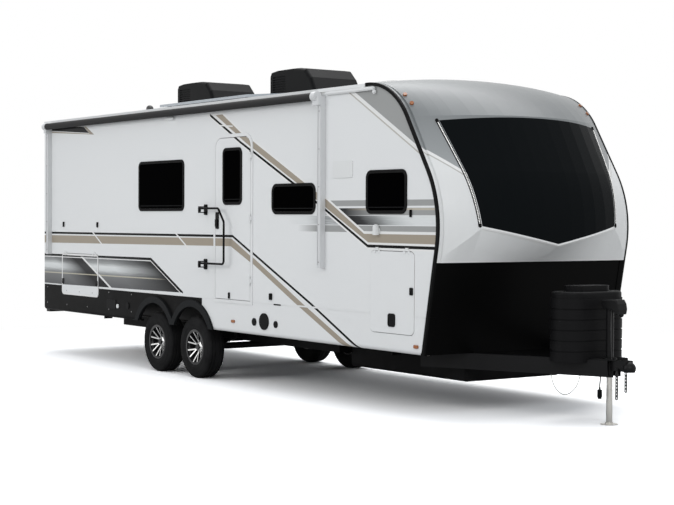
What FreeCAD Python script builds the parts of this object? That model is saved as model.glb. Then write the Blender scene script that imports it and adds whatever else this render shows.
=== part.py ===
import FreeCAD, Part
import math
import os

os.makedirs("parts", exist_ok=True)
V = FreeCAD.Vector

# Travel caravan with two axles, front window cap, roof units and a folded awning, in millimetres.
# +X points to the hitch, -Y is the door side, +Z is up, and the ground is Z = 0.
# Everything along the vehicle is a station, counted forward from a point between the two axles.
zero_x = -1155.0               # where station 0 lies, so that the origin is halfway along the vehicle

# Body shell
tyre_radius = 359.5
spring_room = 232.5            # from the axle line up to the underside of the chassis rails
rail_depth = 254.0
half_width = 1219.0            # outside of a side wall
wall = 45.0                    # laminated wall, whole thickness
joint_gap = 0.3                # between shell panels that meet
rear_x = -3745.0               # outside of the rear wall
deck_thick = 104.0
rail_low = tyre_radius + spring_room
deck_top = rail_low + rail_depth + deck_thick      # floor surface, and the foot of every wall
eave_z = deck_top + 2230.0     # top of the shell at its long edges
roof_crown = 90.0              # how much higher the roof's middle line is
roof_edge = 50.0               # roof thickness over the side walls
roof_middle = 70.0             # roof thickness on the middle line

# Side outline of the nose, from the roof down to the foot: station and height
nose_start = (3790.0, eave_z)
nose_brow = (4170.0, eave_z - 80.0)
nose_shoulder = (4464.0, eave_z - 356.0)
nose_chest = (4781.0, eave_z - 864.0)
nose_belly = (4925.0, eave_z - 1300.0)
nose_waist = (4905.0, eave_z - 1620.0)
nose_foot = (4722.0, rail_low - 2.0)

# Front cap: it bulges forward of the side outline between the walls
cap_wall = 45.0
cap_bottom_z = eave_z - 1720.0
cap_bulge_high = 380.0         # bulge on the middle line at the window's top
cap_bulge_low = 285.0          # and at the window's bottom
cap_bulge_power = 2.5
ridge_lip = 18.0               # how far the ridge under the window stands out
ridge_tip_z = eave_z - 1568.0   # ridge height on the middle line
ridge_end_z = eave_z - 1395.0   # and at the window's lower corners
ridge_side_z = eave_z - 1702.0  # and at the cap's edge
chin_x = 4913.0                # station of the cap's lower edge at the sides
chin_bow = 34.0                # and how much further forward it is in the middle
pane_top_y = 0.812 * half_width  # half width of the front window along its top
pane_low_y = 0.697 * half_width  # and along its bottom
pane_top_z = eave_z - 390.0
pane_top_arch = 50.0
pane_end_z = eave_z - 1380.0    # lower corners
pane_tip_z = eave_z - 1548.0    # lowest point, on the middle line
pane_thick = 8.0
pane_gap = 0.3
section_shares = (0.0, 0.14, 0.28, 0.42, 0.56, 0.70, 0.78, 0.86, 0.93)   # of the half width

# Skirts, wheel arches and trims
skirt_bottom = rail_low - 2.0
skirt_thick = 25.0
skirt_roll = 45.0              # radius of the rolled lower edge
skirt_return = 70.0            # width of the edge that turns inward
skirt_split = 610.0            # station where the dark skirt ends and the pale one starts
arch_radius = 470.0
arch_lift = 12.0               # arches' centres above the axle line
flare_inner = 462.0
flare_outer = 540.0
flare_out = 28.0
trim_width = 32.0
trim_out = 12.0
trim_wrap = 11.0
trim_sheet = 6.0               # how far trim and panel flanges stand ahead of the walls' edge
gutter_height = 34.0
gutter_out = 16.0

# Running gear
axle_spacing = 914.0
axle_mid = -67.0               # station of the middle of the two axles
axle_xs = {"front": axle_mid + axle_spacing / 2, "rear": axle_mid - axle_spacing / 2}
tyre_width = 225.0
tyre_outer_y = half_width - 19.0   # outer side of a tyre
tyre_facets = 72
tyre_seat_gap = 0.7            # the faceted seat stays clear of the round rim
rim_radius = 190.5
rim_width = 190.0
rim_wall = 8.0
rim_flange = 206.0             # radius of the flange outside the tyre's bead
rim_flange_thick = 7.5
rim_disc_y = 70.0              # hub face, inboard of the tyre's outer side
spoke_pairs = 6
spoke_width = 15.0
spoke_foot = 27.0              # degrees round the hub from a pair's middle to each spoke's foot
spoke_lean = 10.0              # degrees that each spoke leans away from the pair's middle
spoke_depth = 18.0
hub_radius = 62.0
hub_bore = 30.5
spindle_radius = 30.0
axle_tube_radius = 38.0
drum_radius = 140.0
drum_width = 70.0
spring_width = 45.0
spring_half = 330.0            # half the distance between a spring's eyes
spring_leaf = 9.0
spring_leaves = 4
spring_sag = 52.0
eye_radius = 16.0

# Chassis
rail_y = tyre_outer_y - tyre_width - 185.0
spring_y = rail_y + 10.0
rail_flange = 96.0
rail_sheet = 9.0
rail_front = nose_foot[0] - 82.0
rail_rear = rear_x + 45.0
cross_count = 10
cross_first = rear_x + 185.0
cross_pitch = (rail_front - 100.0 - cross_first) / (cross_count - 1)
cross_width = 50.0
cross_depth = 100.0
tongue_depth = 152.0
tongue_width = 50.0
tongue_sheet = 9.0
tongue_angle = 25.0
tongue_across = tongue_width / math.cos(math.radians(tongue_angle))
tongue_tip_y = 55.0            # half width over the rails at the coupler
tongue_tip_x = 6030.0          # station where the rails would reach that half width
tongue_front = 5960.0
tongue_rear = tongue_tip_x - (rail_y + 95.0 - tongue_tip_y) / math.tan(math.radians(tongue_angle))
bumper_size = 102.0
bumper_half = half_width - 99.0
bumper_gap = 48.0              # behind the rear wall
bumper_arm = 60.0

# Coupler, jack and gas bottles
coupler_tip = 6210.0
socket_radius = 29.8
socket_x = 6150.0
socket_z = rail_low - 62.0
coupler_wall = 8.0
neck_half = 46.0               # half width of the coupler's neck
neck_bottom = rail_low - 92.0
chain_x = 6052.0
chain_y = 58.0
chain_lug = 24.0               # height of the lug that a chain hangs from
link_length = 46.0
link_width = 30.0
link_wire = 8.0
chain_counts = (8, 6)          # links on the door side and on the far side
jack_x = 5905.0
jack_outer = 35.0
jack_leg_radius = 28.5
jack_clear = 0.8
jack_top = rail_low + 448.0
jack_leg_top = rail_low + 98.0
jack_foot_radius = 82.0
jack_foot_thick = 8.0
jack_head = ((-64.0, 66.0), (-48.0, 22.0), (56.0, 10.0), (96.0, -6.0), (104.0, -30.0), (150.0, -30.0),
             (160.0, 16.0), (151.0, 66.0), (124.0, 104.0), (-50.0, 94.0))
jack_head_half = 58.0
jack_lamp_x = 127.0             # work lamp under the head's front end
jack_lamp_y = 14.0
jack_lamp_drop = 34.0
jack_lamp_radius = 22.0
bottle_x = 5600.0
bottle_depth = 380.0
bottle_length = 770.0
bottle_bottom = rail_low - 27.0  # the cover's skirt hangs over the drawbar rails
bottle_top = rail_low + 613.0
bottle_ribs = 5

# Free cords, as route points: station, y and z
plug_radius = 22.0
plug_cord_diameter = 12.0
tongue_low = rail_low - tongue_depth
plug_cord = ((5893.0, -104.0, tongue_low), (5893.0, -104.0, tongue_low - 28.0),
             (5897.0, -116.0, tongue_low - 66.0), (5897.0, -116.0, tongue_low - 95.0))
ground_wire_diameter = 7.0
ground_wire_drops = (0.6, 45.0, 110.0, 165.0, 190.0, 172.0, 120.0, 55.0, 0.6)
ground_wire_spots = ((5452.0, -300.0), (5459.0, -297.0), (5479.0, -287.0), (5520.0, -268.0), (5569.0, -244.0),
                     (5619.0, -220.0), (5668.0, -197.0), (5697.0, -183.0), (5708.0, -178.0))
ground_wire = tuple((x, y, tongue_low - drop) for (x, y), drop in zip(ground_wire_spots, ground_wire_drops))
jack_cable_diameter = 9.0
jack_cable = ((5955.0, -35.0, rail_low + 457.6), (5957.0, -39.0, rail_low + 393.0),
              (5975.0, -57.0, rail_low + 333.0), (5990.0, -72.0, rail_low + 268.0),
              (5998.0, -79.0, rail_low + 198.0), (5998.0, -77.0, rail_low + 128.0),
              (5992.0, -66.0, rail_low + 63.0), (5988.0, -57.0, rail_low + 9.3))

# Entry door, hatches and windows: stations along the side and heights
door_x0 = 883.0
door_x1 = 1715.0
door_z0 = deck_top - 35.0
door_z1 = eave_z - 380.0
door_corner = 160.0
door_frame_width = 38.0
door_frame_out = 10.0
door_gap = 6.0
door_window = (door_x0 + 208.0, door_x1 - 212.0, eave_z - 1170.0, eave_z - 534.0, 70.0)
hatch_corner = 55.0
hatch_gap = 6.0
hatch_proud = 4.0
baggage = (3883.0, 4572.0, deck_top - 179.0, deck_top + 603.0)
kitchen = (-3172.0, -2068.0, deck_top - 125.0, deck_top + 428.0)
paddle_size = (112.0, 128.0)    # the main latch of a hatch, width and height
button_size = (50.0, 72.0)
baggage_latches = ((4231.0, baggage[2] + 126.0, paddle_size), (baggage[1] - 36.0, baggage[2] + 412.0, button_size))
kitchen_latches = ((kitchen[0] + 48.0, kitchen[2] + 180.0, button_size),
                   (kitchen[1] - 36.0, kitchen[2] + 180.0, button_size))
latch_out = 9.0
window_frame = 32.0
window_out = 9.0
pane_sheet = 6.0
big_window_z = (eave_z - 1237.0, eave_z - 632.0)
small_window_z = (eave_z - 1275.0, eave_z - 950.0)
nose_window_z = (eave_z - 1269.0, eave_z - 845.0)
nose_window = (3805.0, 4457.0) + nose_window_z + (80.0,)
right_windows = ((-947.0, 192.0) + big_window_z + (70.0,), (2099.0, 2929.0) + small_window_z + (90.0,),
                 nose_window)
left_windows = ((-3000.0, -2200.0) + big_window_z + (70.0,), (-900.0, 850.0) + big_window_z + (70.0,),
                nose_window)

# Hinges: knuckles on a pin outside the shell
hatch_pivot_y = -half_width - 11.0
hatch_pivot_up = 9.0           # above the leaf's upper edge
hatch_knuckle = 5.0
hatch_pin = 2.5
hatch_hinge_inset = 110.0      # from a leaf's end to the middle of its hinge
door_pivot_x = door_x1 - 35.0
door_pivot_y = -half_width - 20.5
door_knuckle = 8.0
door_pin = 4.0
door_hinge_zs = (door_z0 + 265.0, (door_z0 + door_z1) / 2 + 2.5, door_z1 - 260.0)
hinge_play = 0.3
hinge_fixed_half = 20.0
hinge_leaf_length = 30.0
hinge_reach = 28.0             # from the pin to the end of a hinge's plate

# Grab handle
handle_x = door_x0 - 183.0
handle_low = deck_top + 385.0
handle_high = deck_top + 1008.0
handle_reach = 540.0
handle_off = 88.0              # axis of the handle, out from the wall
handle_tube = 12.0

# Awning
awning_y = -half_width - 73.0
awning_z = eave_z - 80.0
awning_radius = 42.0
awning_x0 = rear_x + 245.0
awning_x1 = 2985.0
arm_low = deck_top + 410.0
arm_high = eave_z - 130.0
arm_width = 55.0
arm_out = 62.0
arm_wall = 5.0
arm_xs = (awning_x0 - 60.0, awning_x1 + 59.0)

# Roof equipment
cooler_xs = (1132.0, -1104.0)
cooler_length = 924.0
cooler_width = 0.55 * half_width
cooler_height = 318.0
cooler_slots = 7
panel_x0 = -950.0
panel_x1 = 1100.0
panel_y0 = -0.763 * half_width
panel_y1 = -0.328 * half_width
panel_thick = 32.0
panel_lift = 14.0
porch_lamp = (3998.0, deck_top + 795.0)
porch_radius = 36.0
lamp_rail = (-236.0, -39.0, eave_z - 160.0, eave_z - 130.0)
cap_lamp_radius = 20.0
cap_lamp_out = 16.0
cap_lamps = ((4314.0, 0.937, 140.0, V(0.54, -0.31, 0.78)), (4418.0, 0.937, 228.0, V(0.65, -0.42, 0.63)))
vent_xs = (-2650.0, 2650.0)
vent_size = 400.0
vent_height = 70.0
dome_radius = 46.0

# Moulded guard under the fresh-water tank
guard_x0 = 2706.0
guard_x1 = rail_front - 24.0
guard_half = rail_y - 178.0
guard_depth = 290.0             # below the chassis rails
guard_sheet = 6.0

# Flat-bottomed belly pan between the rails, from behind the axles to that guard
belly_x0 = -2350.0
belly_x1 = guard_x0 - 66.0
belly_half = rail_y - 80.0
belly_depth = 150.0
belly_tabs = (-2200.0, -1500.0, 1200.0, 2100.0)

# Stabiliser legs
leg_pivot_z = rail_low - 37.0
leg_length = 520.0
leg_width = 44.0
leg_foot = 120.0
leg_xs = (rail_front - 490.0, rail_rear + 350.0)
leg_y = rail_y - 90.0


def block(x0, x1, y0, y1, z0, z1):
    return Part.makeBox(x1 - x0, y1 - y0, z1 - z0, V(x0, y0, z0))


def rod(radius, start, end):
    axis = end.sub(start)
    return Part.makeCylinder(radius, axis.Length, start, axis)


def prism_xz(points, y0, y1):
    """Flat outline of station and height, drawn across from y0 to y1."""
    corners = [V(x, y0, z) for x, z in points]
    face = Part.Face(Part.makePolygon(corners + corners[:1]))
    return face.extrude(V(0, y1 - y0, 0))


def prism_xy(points, z0, z1):
    corners = [V(x, y, z0) for x, y in points]
    face = Part.Face(Part.makePolygon(corners + corners[:1]))
    return face.extrude(V(0, 0, z1 - z0))


def prism_yz(points, x0, x1):
    corners = [V(x0, y, z) for y, z in points]
    face = Part.Face(Part.makePolygon(corners + corners[:1]))
    return face.extrude(V(x1 - x0, 0, 0))


def rounded_xz(x0, x1, z0, z1, corner, y0, y1):
    """Plate with round corners, facing sideways."""
    plate = block(x0, x1, y0, y1, z0, z1)
    return plate.makeFillet(corner, [e for e in plate.Edges if abs(e.tangentAt(e.FirstParameter).y) > 0.99])


def rounded_xy(x0, x1, y0, y1, z0, z1, corner):
    plate = block(x0, x1, y0, y1, z0, z1)
    return plate.makeFillet(corner, [e for e in plate.Edges if abs(e.tangentAt(e.FirstParameter).z) > 0.99])


def mirrored(shape):
    return shape.mirror(V(0, 0, 0), V(0, 1, 0))


def both_sides(shape):
    return [shape, mirrored(shape)]


def fused(shapes):
    result = shapes[0].fuse(shapes[1:]) if len(shapes) > 1 else shapes[0]
    return result.removeSplitter()


def bent_path(points, radius_of):
    """Straight runs joined by tangent arcs."""
    edges = []
    start = points[0]
    for before, corner, after in zip(points, points[1:], points[2:]):
        u = before.sub(corner).normalize()
        w = after.sub(corner).normalize()
        turn = math.pi - u.getAngle(w)
        radius = radius_of(before.distanceToPoint(corner), corner.distanceToPoint(after), turn)
        reach = radius * math.tan(turn / 2)
        first = corner.add(V(u).multiply(reach))
        last = corner.add(V(w).multiply(reach))
        inward = V(u).add(w).normalize()
        middle = corner.add(inward.multiply(radius / math.cos(turn / 2) - radius))
        edges.append(Part.LineSegment(start, first).toShape())
        edges.append(Part.Arc(first, middle, last).toShape())
        start = last
    edges.append(Part.LineSegment(start, points[-1]).toShape())
    return Part.Wire(edges)


def tube(points, radius, radius_of):
    path = bent_path(points, radius_of)
    direction = points[1].sub(points[0])
    ring = Part.Wire(Part.makeCircle(radius, points[0], direction))
    return path.makePipeShell([ring], True, True)


def hand_bend(bend):
    return lambda before, after, turn: bend


def cord_bend(before, after, turn):
    return 0.45 * min(before, after) / math.tan(turn / 2)


def export(node, shapes):
    shapes = shapes if isinstance(shapes, list) else [shapes]
    solids = [solid for shape in shapes for solid in shape.Solids]
    whole = Part.makeCompound(solids) if len(solids) > 1 else solids[0]
    whole = whole.copy()
    whole.translate(V(zero_x, 0, 0))
    whole.exportStep(f"parts/{node}.step")


# Side outline and shell panels

def nose_edges(y):
    """Edges of the side outline from the roof down to the foot."""
    p = [V(x, y, z) for x, z in (nose_start, nose_brow, nose_shoulder, nose_chest,
                                 nose_belly, nose_waist, nose_foot)]
    return [Part.Arc(p[0], p[1], p[2]).toShape(), Part.LineSegment(p[2], p[3]).toShape(),
            Part.Arc(p[3], p[4], p[5]).toShape(), Part.LineSegment(p[5], p[6]).toShape()]


def side_face(y):
    """The body's whole side outline, as a face across the vehicle at y."""
    corners = [V(nose_foot[0], y, nose_foot[1]), V(rear_x, y, nose_foot[1]), V(rear_x, y, eave_z),
               V(nose_start[0], y, eave_z)]
    sides = [Part.LineSegment(a, b).toShape() for a, b in zip(corners, corners[1:])]
    return Part.Face(Part.Wire(nose_edges(y) + sides))


def side_slab(y0, y1, z0, z1):
    slab = side_face(y0).extrude(V(0, y1 - y0, 0))
    return slab.common(block(rear_x - 10, nose_belly[0] + 10, y0 - 10, y1 + 10, z0, z1))


def nose_band(depth, y0, y1):
    """Strip along the side outline, from the trim's outer edge in to that depth, over y0 to y1."""
    return side_face(y0).makeOffset2D(trim_sheet).cut(side_face(y0).makeOffset2D(depth)).extrude(V(0, y1 - y0, 0))


def edge_trim():
    """Dark edge trim that follows the nose outline on the door side."""
    y0 = -half_width - trim_out
    band = nose_band(trim_sheet - trim_width, y0, -half_width + trim_wrap)
    keep = block(nose_start[0] + joint_gap, nose_belly[0] + 60, y0 - 5, -half_width + trim_wrap + 5,
                 nose_foot[1] + 4, eave_z + 60)
    sill = block(nose_start[0] - 5, nose_foot[0] - trim_width, y0 - 5, -half_width + trim_wrap + 5,
                 nose_foot[1] - 20, nose_foot[1] + trim_width)
    return band.common(keep).cut(sill)


def edge_flange(y_inner, z0, z1):
    """Flange of a nose panel over the side wall's front edge, between heights, on the door side."""
    lip = nose_band(joint_gap, -half_width + trim_wrap + joint_gap, y_inner)
    root = nose_band(-12.0, y_inner + joint_gap, y_inner + 15.0)
    keep = block(nose_start[0] + joint_gap, nose_belly[0] + 60, -half_width, y_inner + 20, z0, z1)
    return lip.fuse(root).common(keep)


def hole_xz(spec, y0, y1, grow=0.0):
    x0, x1, z0, z1, corner = spec
    return rounded_xz(x0 - grow, x1 + grow, z0 - grow, z1 + grow, corner + grow, y0, y1)


def window_ring(spec):
    """Clamp frame of a window: a flange outside the wall and a sleeve through it."""
    y0 = -half_width - window_out
    flange = hole_xz(spec, y0, -half_width)
    sleeve = hole_xz(spec, -half_width, -half_width + wall, -window_frame / 2)
    return flange.fuse(sleeve).cut(hole_xz(spec, y0 - 5, -half_width + wall + 5, -window_frame))


def window_pane(spec):
    return hole_xz(spec, -half_width - 2, -half_width - 2 + pane_sheet, -window_frame - joint_gap)


def hatch_hole(spec, grow):
    x0, x1, z0, z1 = spec
    return rounded_xz(x0 - grow, x1 + grow, z0 - grow, z1 + grow, hatch_corner + grow,
                      -half_width - 30, -half_width + wall + 40)


def hinge_pair(knuckle, pin, fixed_face, leaf_face, lap):
    """Fixed and moving halves of a butt hinge; its pin lies along X at the origin, the leaf hangs below."""
    half, end = hinge_fixed_half, hinge_fixed_half + 0.5 + hinge_leaf_length
    fixed = fused([rod(knuckle, V(-half, 0, 0), V(half, 0, 0)), rod(pin, V(-end, 0, 0), V(end, 0, 0)),
                   block(-half, half, 0, fixed_face, 0, hinge_reach)])
    moving = []
    for hand in (-1, 1):
        x0, x1 = sorted((hand * (half + 0.5), hand * end))
        barrel = rod(knuckle, V(x0, 0, 0), V(x1, 0, 0))
        near = block(x0, x1, 0, knuckle - 1, -lap - 1, 0)
        plate = block(x0, x1, 0, leaf_face, -hinge_reach, -lap)
        moving.append(barrel.fuse([near, plate]).cut(rod(pin + hinge_play, V(x0 - 1, 0, 0), V(x1 + 1, 0, 0))))
    return fixed, moving


def hatch_hinges(spec):
    """Hinges along a hatch's upper edge: fixed halves on the wall and moving halves on the leaf."""
    wall_face = -half_width - joint_gap - hatch_pivot_y
    leaf_face = -half_width - hatch_proud - hatch_pivot_y + 1
    fixed, moving = hinge_pair(hatch_knuckle, hatch_pin, wall_face, leaf_face, hatch_pivot_up)
    places = [V(x, hatch_pivot_y, spec[3] + hatch_pivot_up)
              for x in (spec[0] + hatch_hinge_inset, spec[1] - hatch_hinge_inset)]
    return ([fixed.translated(place) for place in places],
            [piece.translated(place) for place in places for piece in moving])


def door_hinges():
    """Hinges of the entry door, with upright pins at its front edge."""
    face = -half_width - door_frame_out - door_pivot_y + 1
    lap = door_pivot_x - (door_x1 - door_frame_width - door_gap) + 1
    fixed, moving = hinge_pair(door_knuckle, door_pin, face, face, lap)
    halves = []
    for pieces in ([fixed], moving):
        placed = []
        for z in door_hinge_zs:
            for piece in pieces:
                upright = piece.copy()
                upright.rotate(V(0, 0, 0), V(0, 1, 0), 90)
                placed.append(upright.translated(V(door_pivot_x, door_pivot_y, z)))
        halves.append(placed)
    return halves


def paddle(x, z, size, y):
    """Paddle latch: a round-cornered bezel with its pull recessed."""
    w, h = size[0] / 2, size[1] / 2
    bezel = rounded_xz(x - w, x + w, z - h, z + h, w / 2, y - latch_out, y)
    well = rounded_xz(x - w + 8, x + w - 8, z - h + 10, z, 8, y - latch_out - 5, y - latch_out / 2)
    return bezel.cut(well)


def hatch_door(spec, latches):
    """Hatch leaf as thick as the wall, with its paddle latches."""
    x0, x1, z0, z1 = spec
    face = -half_width - hatch_proud
    leaf = rounded_xz(x0, x1, z0, z1, hatch_corner, face, -half_width + wall)
    return leaf.fuse([paddle(x, z, size, face) for x, z, size in latches] + hatch_hinges(spec)[1])


def sidewall(windows, hatches, doorway):
    panel = side_slab(-half_width, -half_width + wall, deck_top, eave_z)
    panel = panel.cut(block(rear_x - 10, nose_start[0], -half_width - 10, -half_width + wall + 10,
                            eave_z - roof_edge, eave_z + 10))
    cuts = [hole_xz(spec, -half_width - 10, -half_width + wall + 10, -window_frame / 2 + joint_gap)
            for spec in windows]
    cuts += [hatch_hole(spec, hatch_gap) for spec in hatches]
    if doorway:
        cuts.append(door_opening(door_gap - door_frame_width / 2))
    cuts.append(edge_trim())
    return panel.cut(cuts)


def door_opening(grow):
    """Doorway prism with round upper corners and a square foot."""
    frame = rounded_xz(door_x0 - grow, door_x1 + grow, door_z0 - grow, door_z1 + grow, door_corner + grow,
                       -half_width - 60, -half_width + wall + 20)
    foot = block(door_x0 - grow, door_x1 + grow, -half_width - 60, -half_width + wall + 20,
                 door_z0 - grow, door_z0 + 2 * door_corner)
    return frame.fuse(foot).removeSplitter()


def door_frame():
    y0 = -half_width - door_frame_out
    ring = door_opening(0.0).common(block(door_x0 - 5, door_x1 + 5, y0, -half_width, 0, 4000))
    sleeve = door_opening(-door_frame_width / 2 + door_gap - joint_gap)
    sleeve = sleeve.common(block(door_x0 - 5, door_x1 + 5, -half_width, -half_width + wall,
                                 deck_top + joint_gap, 4000))
    frame = ring.fuse(sleeve).cut(door_opening(-door_frame_width)).removeSplitter()
    return frame.fuse(door_hinges()[0])


def door_leaf():
    """Entry door leaf, cut for its window."""
    leaf = door_opening(-door_frame_width - door_gap)
    leaf = leaf.common(block(door_x0, door_x1, -half_width - door_frame_out, -half_width + wall, 0, 4000))
    leaf = leaf.cut(hole_xz(door_window, -half_width - 50, -half_width + wall + 10, -window_frame / 2 + joint_gap))
    y = -half_width - door_frame_out
    low = deck_top + 790
    latch = rounded_xz(door_x0 + 62, door_x0 + 122, low, low + 190, 18, y - 12, y)
    lever = rounded_xz(door_x0 + 72, door_x0 + 112, low + 25, low + 110, 12, y - 26, y - 12)
    return leaf.fuse([latch, lever]).removeSplitter().fuse(door_hinges()[1])


def door_window_ring():
    shift = V(0, -door_frame_out, 0)
    ring = window_ring(door_window)
    ring.translate(shift)
    return ring


def door_window_pane():
    pane = window_pane(door_window)
    pane.translate(V(0, -door_frame_out, 0))
    return pane


def roof_section(drop_edge, drop_middle, x0, x1, y):
    """Crowned slab across the vehicle."""
    top = Part.Arc(V(x0, -y, eave_z), V(x0, 0, eave_z + roof_crown), V(x0, y, eave_z)).toShape()
    low = Part.Arc(V(x0, y, eave_z - drop_edge), V(x0, 0, eave_z + roof_crown - drop_middle),
                   V(x0, -y, eave_z - drop_edge)).toShape()
    ends = [Part.LineSegment(V(x0, y, eave_z), V(x0, y, eave_z - drop_edge)).toShape(),
            Part.LineSegment(V(x0, -y, eave_z - drop_edge), V(x0, -y, eave_z)).toShape()]
    return Part.Face(Part.Wire([top, ends[0], low, ends[1]])).extrude(V(x1 - x0, 0, 0))


def roof():
    return roof_section(roof_edge, roof_middle, rear_x, nose_start[0], half_width)


def outline_x(z):
    """Station of the side outline at height z, below the shoulder."""
    if z >= nose_chest[1]:
        share = (z - nose_chest[1]) / (nose_shoulder[1] - nose_chest[1])
        return nose_chest[0] + share * (nose_shoulder[0] - nose_chest[0])
    if z <= nose_waist[1]:
        share = (z - nose_foot[1]) / (nose_waist[1] - nose_foot[1])
        return nose_foot[0] + share * (nose_waist[0] - nose_foot[0])
    arc = Part.Arc(V(nose_chest[0], 0, nose_chest[1]), V(nose_belly[0], 0, nose_belly[1]),
                   V(nose_waist[0], 0, nose_waist[1])).toShape().Curve
    return arc.Center.x + math.sqrt(arc.Radius ** 2 - (z - arc.Center.z) ** 2)


def bulge(y, z):
    """How far the cap stands forward of the side outline."""
    span = (z - pane_end_z) / (pane_top_z - pane_end_z)
    middle = cap_bulge_low + max(0.0, min(1.0, span)) * (cap_bulge_high - cap_bulge_low)
    return middle * (1 - (abs(y) / half_width) ** cap_bulge_power)


def ridge_z(y):
    if abs(y) <= pane_low_y:
        return ridge_tip_z + (ridge_end_z - ridge_tip_z) * abs(y) / pane_low_y
    share = (abs(y) - pane_low_y) / (half_width - pane_low_y)
    return ridge_end_z + (ridge_side_z - ridge_end_z) * share


def cap_section(y, inset):
    """Closed wire of the cap at y; inset shifts it inward for the hollow."""
    crown = roof_crown * (1 - (y / half_width) ** 2)
    fade = 1 - (abs(y) / half_width) ** cap_bulge_power
    back = nose_start[0] + (-20 if inset else 0)
    top = V(back, y, eave_z + crown - inset)
    brow = V(nose_brow[0] + 0.5 * cap_bulge_high * fade - 0.7 * inset, y,
             nose_brow[1] + 0.75 * crown - 0.7 * inset)
    shoulder = V(nose_shoulder[0] + bulge(y, nose_shoulder[1]) - 0.9 * inset, y,
                 nose_shoulder[1] + 0.35 * crown - 0.4 * inset)
    chest = V(nose_chest[0] + bulge(y, nose_chest[1]) - inset, y, nose_chest[1])
    low_z = ridge_z(y)
    mid_z = (low_z + nose_chest[1]) / 2
    belly = V(outline_x(mid_z) + bulge(y, mid_z) - inset, y, mid_z)
    lip = ridge_lip * fade
    ridge = V(outline_x(low_z) + bulge(y, low_z) + lip - 1.1 * inset, y, low_z)
    chin = V(chin_x + chin_bow * fade - inset, y, cap_bottom_z - (20 if inset else 0))
    foot = V(back, y, chin.z)
    edges = [Part.Arc(top, brow, shoulder).toShape(), Part.LineSegment(shoulder, chest).toShape(),
             Part.Arc(chest, belly, ridge).toShape(), Part.LineSegment(ridge, chin).toShape(),
             Part.LineSegment(chin, foot).toShape(), Part.LineSegment(foot, top).toShape()]
    return Part.Wire(edges)


def cap_body(inset):
    last = half_width - wall - joint_gap + (5 if inset else 0)
    ys = [share * half_width for share in section_shares] + [last]
    ys = [-y for y in reversed(ys[1:])] + ys
    return Part.makeLoft([cap_section(y, inset) for y in ys], True, True)


def pane_prism(grow):
    """Outline of the front window, drawn along the vehicle."""
    x0, x1 = nose_chest[0] - 700, nose_belly[0] + 700
    top = V(x0, 0, pane_top_z + pane_top_arch + grow)
    right = V(x0, -pane_top_y - grow, pane_top_z + grow)
    left = V(x0, pane_top_y + grow, pane_top_z + grow)
    low_right = V(x0, -pane_low_y - grow, pane_end_z - grow)
    low_left = V(x0, pane_low_y + grow, pane_end_z - grow)
    tip = V(x0, 0, pane_tip_z - grow)
    edges = [Part.Arc(right, top, left).toShape()]
    chain = [left, low_left, tip, low_right, right]
    edges += [Part.LineSegment(a, b).toShape() for a, b in zip(chain, chain[1:])]
    return Part.Face(Part.Wire(edges)).extrude(V(x1 - x0, 0, 0))


def front_cap():
    shell = cap_body(0).cut(cap_body(cap_wall))
    flange = edge_flange(-half_width + wall + joint_gap, cap_bottom_z, eave_z + 60)
    return shell.fuse(both_sides(flange)).cut(pane_prism(pane_gap))


def front_window():
    return cap_body(0).common(pane_prism(0)).cut(cap_body(pane_thick))


def front_panel():
    """Dark panel from the cap down to the foot, between the walls and the skirts."""
    top = cap_bottom_z - joint_gap
    foot = rail_low + joint_gap
    x_top, x_deck, x_foot = outline_x(top), outline_x(deck_top), outline_x(foot)
    upper = prism_xz([(x_top, top), (x_deck, deck_top), (x_deck - wall, deck_top), (x_top - wall, top)],
                     -half_width + wall + joint_gap, half_width - wall - joint_gap)
    inner = half_width - skirt_return - joint_gap
    lower = prism_xz([(x_deck, deck_top), (x_foot, foot), (x_foot - wall, foot), (x_deck - wall, deck_top)],
                     -inner, inner)
    flanges = both_sides(edge_flange(-half_width + wall + joint_gap, deck_top + joint_gap, top))
    low_flange = edge_flange(-inner, foot, deck_top - joint_gap)
    ahead = block(x_foot - 2 * wall, x_top, -half_width, half_width, foot, top)
    flanges += both_sides(low_flange.common(ahead))
    return upper.fuse([lower] + flanges).removeSplitter()


def rear_wall():
    inner = half_width - wall - joint_gap
    panel = block(rear_x, rear_x + wall, -inner, inner, deck_top, eave_z - roof_edge)
    crown = roof_section(roof_edge + 60, roof_crown, rear_x, rear_x + wall, half_width)
    lid = roof_section(roof_edge, roof_middle, rear_x - 5, rear_x + wall + 5, half_width)
    inside = block(rear_x, rear_x + wall, -inner, inner, deck_top, eave_z + roof_crown)
    return panel.fuse(crown).common(inside).cut(lid)


def floor_deck():
    edge = half_width - skirt_thick - joint_gap
    deck = block(rear_x + 27, nose_foot[0] - 4, -edge, edge, deck_top - deck_thick, deck_top)
    notch = block(kitchen[0] - 12, kitchen[1] + 12, -edge - 5, -half_width + wall + 12,
                  deck_top - deck_thick - 5, deck_top + 5)
    baggage_notch = block(baggage[0] - 12, baggage[1] + 12, -edge - 5, -half_width + wall + 12,
                          deck_top - deck_thick - 5, deck_top + 5)
    arch = wheel_arches(arch_radius).common(block(-2000, 2000, -half_width, half_width, 0, deck_top - 20))
    return deck.cut([notch, baggage_notch, mirrored(baggage_notch), arch])


def wheel_arches(radius):
    """Cylinders across the vehicle over the wheels, on the door side."""
    inner = half_width - 300
    wells = []
    arch_z = tyre_radius + arch_lift
    for side in (-1, 1):
        for x in axle_xs.values():
            y0, y1 = sorted((side * inner, side * (half_width + 60)))
            wells.append(rod(radius, V(x, y0, arch_z), V(x, y1, arch_z)))
    return wells[0].fuse(wells[1:])


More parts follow.
